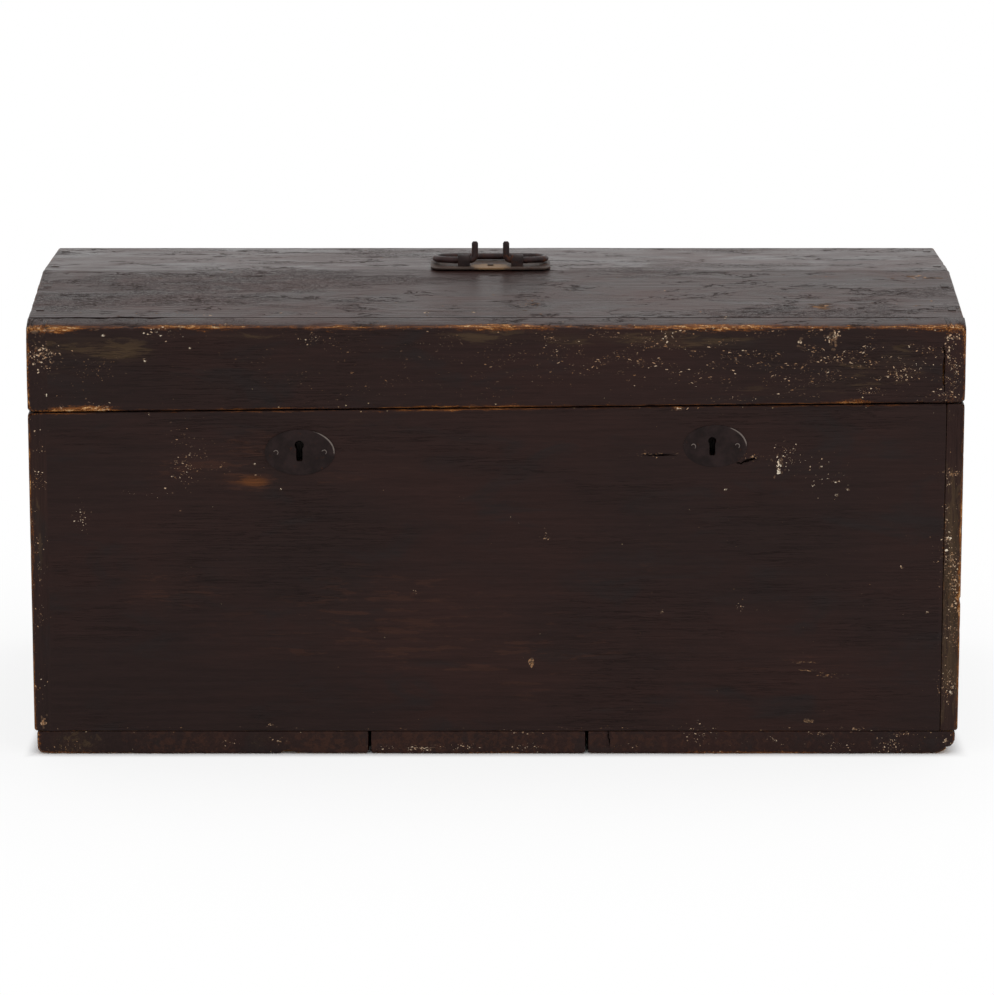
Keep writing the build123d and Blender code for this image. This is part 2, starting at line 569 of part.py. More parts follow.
def make_handle_plate():
    front = FRONT_Y + HANDLE_FROM_FACE
    middle = (HANDLE_X, front + HANDLE_PLATE_D / 2, handle_seat())
    outline = RectangleRounded(HANDLE_PLATE_W, HANDLE_PLATE_D, HANDLE_PLATE_CORNER)
    parts["handle_plate"] = Pos(*middle) * extrude(outline, amount=HANDLE_PLATE_T)


def make_eye(side, sign):
    """A strip bent over the bail's rod, with its two legs through plate and boards and clenched below."""
    inner = BAIL_ROD_R + EYE_CLEARANCE
    outer = inner + EYE_T
    x = HANDLE_X + sign * EYE_X
    foremost = BAIL_AXIS_FROM_FACE - outer - CLENCH_L
    under = roof(foremost, STAVE_T)[0] - CLENCH_DROP - BAIL_AXIS_Z
    hoop = Rot(0, 90, 0) * (Cylinder(outer, EYE_W) - Cylinder(inner, EYE_W))
    hoop &= block(span(0, EYE_W), (-outer, outer), (0, outer))
    for way in (-1, 1):
        leg_y = sorted((way * inner, way * outer))
        hoop += block(span(0, EYE_W), leg_y, (under - EYE_T, 0))
        clench_y = sorted((way * inner, way * (outer + CLENCH_L)))
        hoop += block(span(0, EYE_W), clench_y, (under - EYE_T, under))
        slot = block(
            span(x, EYE_W + 2 * EYE_SLOT_CLEARANCE),
            (BAIL_AXIS_Y + leg_y[0] - EYE_SLOT_CLEARANCE, BAIL_AXIS_Y + leg_y[1] + EYE_SLOT_CLEARANCE),
            (BAIL_AXIS_Z + under, BAIL_AXIS_Z),
        )
        for node in ("handle_plate",) + STAVES[:2]:
            parts[node] -= slot
    parts[side + "_handle_eye"] = Pos(x, BAIL_AXIS_Y, BAIL_AXIS_Z) * hoop


def make_bail():
    """One round rod: a flat loop with its two ends brought back to the front and turned up."""
    reach = BAIL_OUTER_W / 2 - BAIL_ROD_R
    back = BAIL_LOOP_D
    top = BAIL_POST_TOP
    path = FilletPolyline(
        (-BAIL_POST_X, 0, top),
        (-BAIL_POST_X, 0, 0),
        (-reach, 0, 0),
        (-reach, back, 0),
        (reach, back, 0),
        (reach, 0, 0),
        (BAIL_POST_X, 0, 0),
        (BAIL_POST_X, 0, top),
        radius=[BAIL_POST_BEND] + 4 * [(BAIL_LOOP_D - BAIL_END_STRAIGHT) / 2] + [BAIL_POST_BEND],
    )
    section = Plane(origin=(-BAIL_POST_X, 0, top), z_dir=(0, 0, -1)) * Circle(BAIL_ROD_R)
    rod = sweep(section, path=path)
    print("bail: path length", round(path.length, 2), "volume over section", end=" ")
    print(round(rod.volume / (math.pi * BAIL_ROD_R**2), 2))
    droop = math.degrees(math.asin((BAIL_AXIS_RISE - BAIL_ROD_R - BAIL_REST_GAP) / BAIL_LOOP_D))
    parts["bail"] = Pos(HANDLE_X, BAIL_AXIS_Y, BAIL_AXIS_Z) * (Rot(-droop, 0, 0) * rod)


def make_handle():
    make_handle_plate()
    for side, sign in zip(SIDES, (-1, 1)):
        make_eye(side, sign)
    make_bail()
    front = FRONT_Y + HANDLE_FROM_FACE
    places = [
        ((HANDLE_X + x, front + y, handle_seat() + HANDLE_PLATE_T), (0, 0, 1)) for x, y in HANDLE_NAILS
    ]
    fasten("handle_nails", places, ("handle_plate",) + STAVES[:2], **TACK)


# ---------------------------------------------------------------- build and write
make_box()
make_lid()
make_hinges()
for place, side in enumerate(SIDES):
    make_escutcheon(place, side)
    make_lock(place, side)
    make_keeper(place, side)
make_handle()
nail_box()
nail_lid()

os.makedirs("parts", exist_ok=True)
for name, shape in parts.items():
    export_step(shape, f"parts/{name}.step")
print(len(parts), "nodes")
print("lid hinge at", seam_point(0, PIN_Y, PIN_Z), "along", seam_direction(1, 0, 0))
print("bail hinge at", (HANDLE_X, BAIL_AXIS_Y, BAIL_AXIS_Z))
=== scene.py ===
import json
import math

import bpy
import numpy as np
from mathutils import Euler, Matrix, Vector
from mathutils.bvhtree import BVHTree

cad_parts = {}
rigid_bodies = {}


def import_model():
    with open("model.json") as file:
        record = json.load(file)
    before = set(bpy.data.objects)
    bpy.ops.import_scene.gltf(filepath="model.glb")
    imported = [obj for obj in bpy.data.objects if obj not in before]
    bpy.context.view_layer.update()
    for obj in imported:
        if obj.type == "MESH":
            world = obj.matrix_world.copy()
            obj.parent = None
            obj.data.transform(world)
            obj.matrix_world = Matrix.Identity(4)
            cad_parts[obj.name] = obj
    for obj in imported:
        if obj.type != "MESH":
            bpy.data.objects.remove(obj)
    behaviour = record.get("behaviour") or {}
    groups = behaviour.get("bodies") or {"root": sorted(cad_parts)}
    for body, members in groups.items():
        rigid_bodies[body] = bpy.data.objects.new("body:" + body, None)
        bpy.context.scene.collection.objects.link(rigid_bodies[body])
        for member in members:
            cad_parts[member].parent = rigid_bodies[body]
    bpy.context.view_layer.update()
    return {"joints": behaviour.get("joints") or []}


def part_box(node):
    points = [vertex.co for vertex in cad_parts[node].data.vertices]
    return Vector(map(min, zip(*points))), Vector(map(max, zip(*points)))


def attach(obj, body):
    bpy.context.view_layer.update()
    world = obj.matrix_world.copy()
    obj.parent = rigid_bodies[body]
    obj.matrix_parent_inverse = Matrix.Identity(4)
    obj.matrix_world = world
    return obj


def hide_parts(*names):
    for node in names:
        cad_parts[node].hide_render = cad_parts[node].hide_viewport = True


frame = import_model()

MM = 0.001
SEED = 20
EDGE_ANGLE = math.radians(40)                     # a sharper turn than this is an edge

# ---------------- places taken from the frame
JOINTS = {joint["name"]: joint for joint in frame["joints"]}
HINGE = JOINTS["lid_hinge"]
PIN_RISE = 0.2 * MM                               # box's rim to the hinge axis, half the seam's gap
SEAM_GAP = 2 * PIN_RISE
SEAM_CLIMB = HINGE["axis"][2] / HINGE["axis"][0]  # the seam climbs to the right
TILT = math.atan(SEAM_CLIMB)
SEAM_Z = HINGE["pos_m"][2] - PIN_RISE
PIN_Y = HINGE["pos_m"][1]
BAIL_AXIS = Vector(JOINTS["bail_hinge"]["pos_m"])
LEFT_X, LEFT_INNER = (corner.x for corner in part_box("left_end_board"))
RIGHT_INNER, RIGHT_X = (corner.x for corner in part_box("right_end_board"))
FRONT_Y, FRONT_INNER = (corner.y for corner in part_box("front_board"))
BACK_INNER, BACK_Y = (corner.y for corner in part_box("back_board"))
BOTTOM_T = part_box("middle_bottom_board")[1].z
RAIL_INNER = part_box("lid_front_rail")[1].y
BACK_RAIL_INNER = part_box("lid_back_rail")[0].y
LID_LEFT_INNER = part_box("lid_left_end")[1].x
LID_RIGHT_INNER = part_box("lid_right_end")[0].x
CROWN_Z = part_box("lid_crown_board")[1].z
PLATE_LOW, PLATE_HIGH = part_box("handle_plate")
TOP_EDGE = SEAM_Z + RIGHT_X * SEAM_CLIMB

# ---------------- sizes that the part's source also names
STAVE_T = 10.0 * MM
STAVE_GAP = 0.4 * MM
ARRIS_Z = SEAM_Z + 69.0 * MM
RIDGE_FROM_FACE = 134.0 * MM
RIDGE_RADIUS = 200.0 * MM
SLOPE = math.atan2(CROWN_Z - ARRIS_Z, RIDGE_FROM_FACE)
BEVEL_FALL = math.tan(math.radians(52.5))         # of the bevel behind the hinge pins
STRAP_T = 1.8 * MM
STRAP_HALF = 13.2 * MM
HINGE_X = 250 * MM
KNUCKLE_R = 3.4 * MM
KNUCKLE_HALF = 16 * MM
# each pair below is of the left and the right lock
LOCK_X = (-160 * MM, 175 * MM)
KEYHOLE_DROP = 28.6 * MM
KEYHOLE_HEAD_R = (3.8 * MM, 3.3 * MM)
KEYHOLE_SLOT_W = (5.2 * MM, 4.8 * MM)
KEYHOLE_SLOT_L = (13.4 * MM, 12.0 * MM)
ESCUTCHEON_STEP = (0.4 * MM, 2.4 * MM)
ESCUTCHEON_DROP = (34.6 * MM, 32.9 * MM)
ESCUTCHEON_W = (57 * MM, 52 * MM)
ESCUTCHEON_H = (38 * MM, 35 * MM)
ESCUTCHEON_NAIL_SPREAD = (19.6 * MM, 17.8 * MM)

SIDES = ("left", "right")
BASE = ("left_bottom_board", "middle_bottom_board", "right_bottom_board")
BOX_ENDS = ("left_end_board", "right_end_board")
LID_ENDS = ("lid_left_end", "lid_right_end")
STAVES = ("lid_front_stave", "lid_crown_board", "lid_rear_stave")


# ---------------- noise over arrays of points
def lattice(cell, seed):
    """A repeatable value from 0 to 1 for each whole-numbered cell."""
    n = cell[:, 0] * 374761393 + cell[:, 1] * 668265263 + cell[:, 2] * 1442695041 + seed * 97531
    n = n & 0xFFFFFFFF
    n = ((n ^ (n >> 13)) * 1274126177) & 0xFFFFFFFF
    n = ((n ^ (n >> 15)) * 2246822519) & 0xFFFFFFFF
    return ((n ^ (n >> 16)) & 0xFFFFFF) / 0xFFFFFF


def noise(points, size, seed):
    """Smooth noise from 0 to 1, whose features have the given size along each axis."""
    scaled = points / np.array(size)
    cell = np.floor(scaled).astype(np.int64)
    part = scaled - cell
    part = part * part * (3 - 2 * part)
    total = np.zeros(len(points))
    for corner in np.ndindex(2, 2, 2):
        weight = np.prod(np.where(corner, part, 1 - part), axis=1)
        total += weight * lattice(cell + np.array(corner), seed)
    return total


def layered(points, size, seed, layers=3):
    """Noise with finer layers on top, each half as large and half as strong."""
    total, strength, weight = 0.0, 1.0, 0.0
    for layer in range(layers):
        total = total + strength * noise(points, np.array(size) / 2**layer, seed + layer)
        weight += strength
        strength /= 2
    return total / weight


def smooth(low, high, value):
    """0 below low, 1 above high, and a smooth rise between."""
    t = np.clip((value - low) / (high - low), 0, 1)
    return t * t * (3 - 2 * t)


# ---------------- objects and meshes
def new_object(name, data):
    made = bpy.data.objects.new(name, data)
    bpy.context.scene.collection.objects.link(made)
    return made


def new_mesh_object(name, points, faces):
    mesh = bpy.data.meshes.new(name)
    mesh.from_pydata(points, [], faces)
    return new_object(name, mesh)


def mesh_piece(name, points, faces, body, slot, material, replaced=(), attributes=None):
    """One piece of the trunk, with its own values per point for its material to read."""
    piece = new_mesh_object(name, np.asarray(points).tolist(), [list(face) for face in faces])
    mesh = piece.data
    mesh.validate()
    mesh.polygons.foreach_set("use_smooth", [True] * len(mesh.polygons))
    mesh.set_sharp_from_angle(angle=EDGE_ANGLE)
    for key, values in (attributes or {}).items():
        values = np.asarray(values, np.float32)
        kind, field = ("FLOAT_VECTOR", "vector") if values.ndim == 2 else ("FLOAT", "value")
        mesh.attributes.new(key, kind, "POINT").data.foreach_set(field, values.ravel())
    for one in material if isinstance(material, tuple) else (material,):
        mesh.materials.append(one)
    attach(piece, body)
    if replaced:
        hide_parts(*replaced)
    return piece


def looks(names):
    """The worn pieces that stand for the named nodes."""
    return [bpy.data.objects[name + "_looks"] for name in names]


def turns(count):
    return [2 * math.pi * k / count for k in range(count)]


def tube(rings, around, first=0, closed=False):
    """Faces between rings of points laid one after another. Both ends are capped, or joined if closed."""
    faces = []
    for ring in range(rings if closed else rings - 1):
        low, high = first + ring * around, first + (ring + 1) % rings * around
        for k in range(around):
            j = (k + 1) % around
            faces.append((low + k, low + j, high + j, high + k))
    if not closed:
        last = first + (rings - 1) * around
        faces += [tuple(range(first + around - 1, first - 1, -1)), tuple(range(last, last + around))]
    return faces


def cuts(low, high, step, extra=()):
    """Places along one axis at which a board is divided, closer together near its two ends."""
    ease = [offset * MM for offset in (0, 0.4, 0.9, 1.5, 2.3, 3.4, 5.0)]
    ease = [offset for offset in ease if offset < (high - low) / 2 - 0.3 * MM]
    first, last = low + ease[-1], high - ease[-1]
    count = max(1, round((last - first) / step))
    middle = [first + (last - first) * i / count for i in range(1, count)]
    places = sorted([low + e for e in ease] + middle + [high - e for e in ease] + list(extra))
    return np.array([p for i, p in enumerate(places) if i == 0 or p - places[i - 1] > 0.05 * MM])


def grid_box(along):
    """The surface of a box divided at the given places along each axis, as one closed mesh of quads."""
    count = [len(a) for a in along]
    keys, faces = [], []
    for axis in range(3):
        u, v = (axis + 1) % 3, (axis + 2) % 3
        for side in (0, count[axis] - 1):
            index = [None, None, None]
            index[u], index[v] = np.meshgrid(np.arange(count[u]), np.arange(count[v]), indexing="ij")
            index[axis] = np.full_like(index[u], side)
            key = index[0] + count[0] * (index[1] + count[1] * index[2])
            ring = [key[:-1, :-1], key[1:, :-1], key[1:, 1:], key[:-1, 1:]]
            if side == 0:
                ring.reverse()
            faces.append(np.stack([corner.ravel() for corner in ring], axis=1))
            keys.append(key.ravel())
    unique = np.unique(np.concatenate(keys))
    x, y, z = unique % count[0], unique // count[0] % count[1], unique // (count[0] * count[1])
    points = np.stack([along[0][x], along[1][y], along[2][z]], axis=1)
    return points, np.searchsorted(unique, np.concatenate(faces))


# ---------------- boards
FACES = {"left": (0, -1), "right": (0, 1), "front": (1, -1), "back": (1, 1), "bottom": (2, -1), "top": (2, 1)}
SHARP = 0.7 * MM                                  # radius of an arris that nothing has worn
SHUT = 0.12                                       # the same in a joint that paint has filled, in mm
JOINT_REACH = 9 * MM                              # how far a board lies level beside a joint


def to_face(points, low, high, face):
    axis, sign = FACES[face]
    return high[axis] - points[:, axis] if sign > 0 else points[:, axis] - low[axis]


def wear_arrises(points, low, high, arrises):
    """Radius of the rounding and share of wear at each point, and a level that is 0 at a filled joint."""
    radius = np.full(len(points), SHARP)
    wear = np.zeros(len(points))
    level = np.ones(len(points))
    for pair, (edge_mm, edge_wear) in arrises.items():
        away = np.hypot(*(to_face(points, low, high, face) for face in pair.split()))
        if edge_mm <= SHUT:
            level *= smooth(0, JOINT_REACH, away)
        edge_radius = edge_mm * MM
        reach = 3 * edge_radius
        radius += (edge_radius - SHARP) * np.exp(-((away / reach) ** 2))
        wear = np.maximum(wear, edge_wear * np.exp(-((away / (0.8 * edge_radius + 1.6 * MM)) ** 1.5)))
    radius *= 0.75 + 0.5 * noise(points, (28 * MM,) * 3, SEED + 1)
    chipping = smooth(0.60, 0.85, noise(points, (7 * MM,) * 3, SEED + 2))
    radius *= 1 + 0.9 * chipping * np.clip(wear * 1.6, 0, 1)
    return np.minimum(radius, 0.46 * (high - low).min()), wear, level


def uneven(points, grain, relief):
    """How far the surface lies below the flat box, in hollows that run along the grain."""
    stretch = np.full(3, 14 * MM)
    stretch[grain] = 160 * MM
    broad = noise(points, np.full(3, 90 * MM), SEED + 7)
    return relief * layered(points, stretch, SEED + 3) + relief * broad


def worn_board(
    name, low, high, kind, arrises, joined=(), bare=(), sky=0.0, grain=0, step=3.0, extra_y=(), floor=None,
    ceiling=None, relief=0.25, zones=(), rub=(), bites=(), shape=None, seed=0,
):
    """A board with worn arrises. It is worked out as a flat box from low to high, and floor and ceiling
    then give its real lower and upper surface. kind is its body, slot and material. arrises maps two faces
    that meet to a radius in mm and a wear. joined are faces shut tight against a neighbour: the arrises run
    on into them and nothing is rounded. step and relief are in mm."""
    low, high = np.array(low), np.array(high)
    points, faces = grid_box([cuts(low[a], high[a], step * MM, extra_y if a == 1 else ()) for a in range(3)])
    offset = np.array([0.37, 0.61, 0.83]) * seed
    radius, wear, level = wear_arrises(points, low, high, arrises)

    inset = {-1: np.tile(radius[:, None], 3), 1: np.tile(radius[:, None], 3)}
    for face in joined:
        axis, sign = FACES[face]
        inset[sign][:, axis] = 0
        level *= smooth(0, JOINT_REACH, to_face(points, low, high, face))
    core = np.clip(points, low + inset[-1], high - inset[1])
    away = points - core
    normal = away / np.maximum(np.linalg.norm(away, axis=1), 1e-9)[:, None]
    sink = uneven(points + offset, grain, relief * MM) * level
    placed = core + normal * (radius - np.minimum(sink, 0.5 * radius))[:, None]

    inside = np.zeros(len(points))
    for face in bare:
        axis, sign = FACES[face]
        flush = to_face(points, low, high, face) < 0.01 * MM
        inside += flush if face in joined else np.maximum(0, normal[:, axis] * sign) ** 2
    for face in FACES:
        if face not in bare:
            inside = inside * smooth(0.5 * MM, 2.5 * MM, to_face(points, low, high, face))
    upward = sky * smooth(0.25, 0.85, normal[:, 2])
    butt = np.minimum(points[:, grain] - low[grain], high[grain] - points[:, grain])

    if floor or ceiling:
        share = (placed[:, 2] - low[2]) / (high[2] - low[2])
        bottom = floor(placed) if floor else low[2]
        top = ceiling(placed) if ceiling else high[2]
        placed[:, 2] = bottom + share * (top - bottom)
    if shape:
        placed = shape(placed)
    for centre, size in bites:
        placed = bite(placed, centre, size)

    blotches = 0.55 + 0.9 * noise(points, (60 * MM,) * 3, SEED + 5)
    attributes = {
        "grain": np.roll(points, -grain, axis=1) + offset,
        "wear": np.clip(wear * blotches + spots(placed, zones), 0, 1.3),
        "bare": np.clip(inside, 0, 1),
        "rub": spots(placed, rub),
        "sky": upward,
        "butt": np.exp(-((butt / (4 * MM)) ** 2)),
    }
    piece = mesh_piece(name + "_looks", placed, faces, *kind, (name,), attributes)
    if len(piece.data.materials) > 1:
        weathered = (upward[faces].mean(axis=1) > 0.5).astype(np.int32)
        piece.data.polygons.foreach_set("material_index", weathered)
    return piece


def bite(points, centre, size):
    """Pushes the surface out of an egg-shaped hollow, as where a splinter broke off."""
    away = (points - np.array(centre)) / np.array(size)
    reach = np.linalg.norm(away, axis=1)
    pushed = np.array(centre) + away / np.maximum(reach, 1e-6)[:, None] * np.array(size)
    return np.where((reach < 1)[:, None], pushed, points)


def spots(points, places):
    """The sum of soft round patches, each a middle, a size along each axis and a strength."""
    total = np.zeros(len(points))
    for centre, size, strength in places:
        away = (points - np.array(centre)) / np.array(size)
        total += strength * np.exp(-(away**2).sum(axis=1))
    return total


def seam(points, rise=0.0):
    return SEAM_Z + points[:, 0] * SEAM_CLIMB + rise


def bevel(points):
    """How far box and lid draw back from the seam behind the hinge pins."""
    return np.maximum(points[:, 1] - PIN_Y, 0) * BEVEL_FALL


def box_top(points):
    return seam(points) - bevel(points)


def lid_foot(points):
    return seam(points, SEAM_GAP) + bevel(points)


def roof(y, sink=0.0):
    """Height of the lid's outer surface, or of one sunk square to it, over an array of Y."""
    near = np.minimum(y - FRONT_Y, BACK_Y - y)
    slope_z = ARRIS_Z - sink / math.cos(SLOPE)
    crown_z = CROWN_Z - sink
    radius = RIDGE_RADIUS - sink
    bend = radius * math.tan(SLOPE / 2)
    ridge = (crown_z - slope_z) / math.tan(SLOPE)
    into = np.clip(ridge + bend - near, 0, radius * math.sin(SLOPE))
    curved = crown_z - radius + np.sqrt(radius * radius - into * into)
    straight = slope_z + near * math.tan(SLOPE)
    return np.where(near < ridge - bend * math.cos(SLOPE), straight, curved)


def lid_top(points):
    """The roof, planed down a little towards the front and back arrises."""
    near = np.minimum(points[:, 1] - FRONT_Y, BACK_Y - points[:, 1])
    return roof(points[:, 1]) - 1.3 * MM * np.clip(1 - near / (17 * MM), 0, 1) ** 2


def end_top(points):
    """Top of the lid's ends: sunk under the staves between the rails."""
    y = points[:, 1]
    seated = (y > RAIL_INNER) & (y < BACK_RAIL_INNER)
    return np.where(seated, roof(y, STAVE_T), lid_top(points))


# ---------------- materials
WHITE = (1.0, 1.0, 1.0, 1.0)


def srgb(text):
    """A linear colour from six hexadecimal digits."""
    values = [int(text[i : i + 2], 16) / 255 for i in (0, 2, 4)]
    return (*(v / 12.92 if v <= 0.04045 else ((v + 0.055) / 1.055) ** 2.4 for v in values), 1.0)


class Tree:
    """Builds the nodes of a material or world from short calls. Most return the new node's output socket.
    A colour may be given as six hexadecimal digits."""

    def __init__(self, owner):
        self.owner = owner
        owner.use_nodes = True
        self.nodes, self.links = owner.node_tree.nodes, owner.node_tree.links
        self.nodes.clear()

    def node(self, kind, inputs=None, **settings):
        made = self.nodes.new(kind)
        for key, value in settings.items():
            setattr(made, key, value)
        for key, value in (inputs or {}).items():
            if isinstance(value, bpy.types.NodeSocket):
                self.links.new(value, made.inputs[key])
            else:
                made.inputs[key].default_value = srgb(value) if isinstance(value, str) else value
        return made

    def attribute(self, name, output="Fac"):
        return self.node("ShaderNodeAttribute", attribute_name=name).outputs[output]

    def coordinates(self):
        return self.node("ShaderNodeTexCoord").outputs["Object"]

    def scaled(self, vector, per_metre):
        """What a texture needs for a scale that is one number, or one for each axis."""
        if isinstance(per_metre, tuple):
            inputs = {"Vector": vector, "Scale": per_metre}
            vector = self.node("ShaderNodeMapping", inputs, vector_type="POINT").outputs["Vector"]
            per_metre = 1.0
        return {"Vector": vector, "Scale": per_metre}

    def noise(self, vector, per_metre, detail=3.0, roughness=0.55, distortion=0.0):
        """Noise from 0 to 1 with its middle near 0.5."""
        look = {"Detail": detail, "Roughness": roughness, "Distortion": distortion}
        return self.node("ShaderNodeTexNoise", self.scaled(vector, per_metre) | look).outputs["Fac"]

    def cells(self, vector, per_metre):
        """A Voronoi pattern: the distance to each cell's point, and a random colour for each cell."""
        made = self.node("ShaderNodeTexVoronoi", self.scaled(vector, per_metre))
        return made.outputs["Distance"], made.outputs["Color"]

    def math(self, operation, a, b=0.0, clamp=False):
        return self.node("ShaderNodeMath", {0: a, 1: b}, operation=operation, use_clamp=clamp).outputs[0]

    def times(self, a, b):
        return self.math("MULTIPLY", a, b)

    def plus(self, a, b, clamp=False):
        return self.math("ADD", a, b, clamp)

    def swing(self, value, reach):
        """A value from 0 to 1 made to swing about 0."""
        return self.times(self.math("SUBTRACT", value, 0.5), reach)

    def off_middle(self, value):
        return self.math("ABSOLUTE", self.math("SUBTRACT", value, 0.5))

    def ramp(self, value, low, high, to_low=0.0, to_high=1.0):
        inputs = {"Value": value, "From Min": low, "From Max": high, "To Min": to_low, "To Max": to_high}
        return self.node("ShaderNodeMapRange", inputs, interpolation_type="SMOOTHSTEP").outputs["Result"]

    def mix(self, share, a, b, blend="MIX"):
        inputs = {0: share, 6: a, 7: b}
        return self.node("ShaderNodeMix", inputs, data_type="RGBA", blend_type=blend).outputs[2]

    def between(self, share, a, b):
        return self.node("ShaderNodeMix", {0: share, 2: a, 3: b}, data_type="FLOAT").outputs[0]

    def colours(self, value, stops):
        """A colour ramp: stops maps a place from 0 to 1 to a colour."""
        made = self.node("ShaderNodeValToRGB", {"Fac": value})
        ramp = made.color_ramp
        while len(ramp.elements) < len(stops):
            ramp.elements.new(0.5)
        for element, (place, colour) in zip(ramp.elements, stops.items()):
            element.position = place
            element.color = srgb(colour)
        return made.outputs["Color"]

    def bump(self, height, distance, strength=1.0, under=None):
        """A normal bent by a height, over another normal if one is given. distance is in mm."""
        inputs = {"Height": height, "Distance": distance * MM, "Strength": strength}
        if under is not None:
            inputs["Normal"] = under
        return self.node("ShaderNodeBump", inputs).outputs["Normal"]

    def dent(self, depth, distance, strength, under):
        return self.bump(self.times(depth, -1.0), distance, strength, under)

    def seen_directly(self):
        """1 for rays from the camera, in a mirror or through glass, and 0 for rays that light the scene."""
        path = self.node("ShaderNodeLightPath").outputs
        seen = self.math("MAXIMUM", path["Is Camera Ray"], path["Is Glossy Ray"])
        return self.math("MAXIMUM", seen, path["Is Transmission Ray"])

    def surface(self, shader, output="ShaderNodeOutputMaterial"):
        """Ends the tree with a shader node, and returns what the tree belongs to."""
        self.node(output, {"Surface": shader.outputs[0]})
        return self.owner

    def finish(self, colour, roughness, normal, **others):
        """The trunk's surface. Other sockets of the shader are named with _ for a space."""
        inputs = {"Base Color": colour, "Roughness": roughness, "Normal": normal}
        inputs |= {key.replace("_", " "): value for key, value in others.items()}
        return self.surface(self.node("ShaderNodeBsdfPrincipled", inputs))


FRONT_DARK, FRONT_WARM, FRONT_COOL = "261a18", "2c1c19", "251d1c"
TOP_DARK, TOP_WARM, TOP_COOL = "241511", "37211c", "2b1a17"
RED_RUB, ORANGE_RUB, OLIVE_RUB = "3b251d", "5c361d", "433425"
TOP_TINT = (1.0, 0.91, 0.90, 1.0)


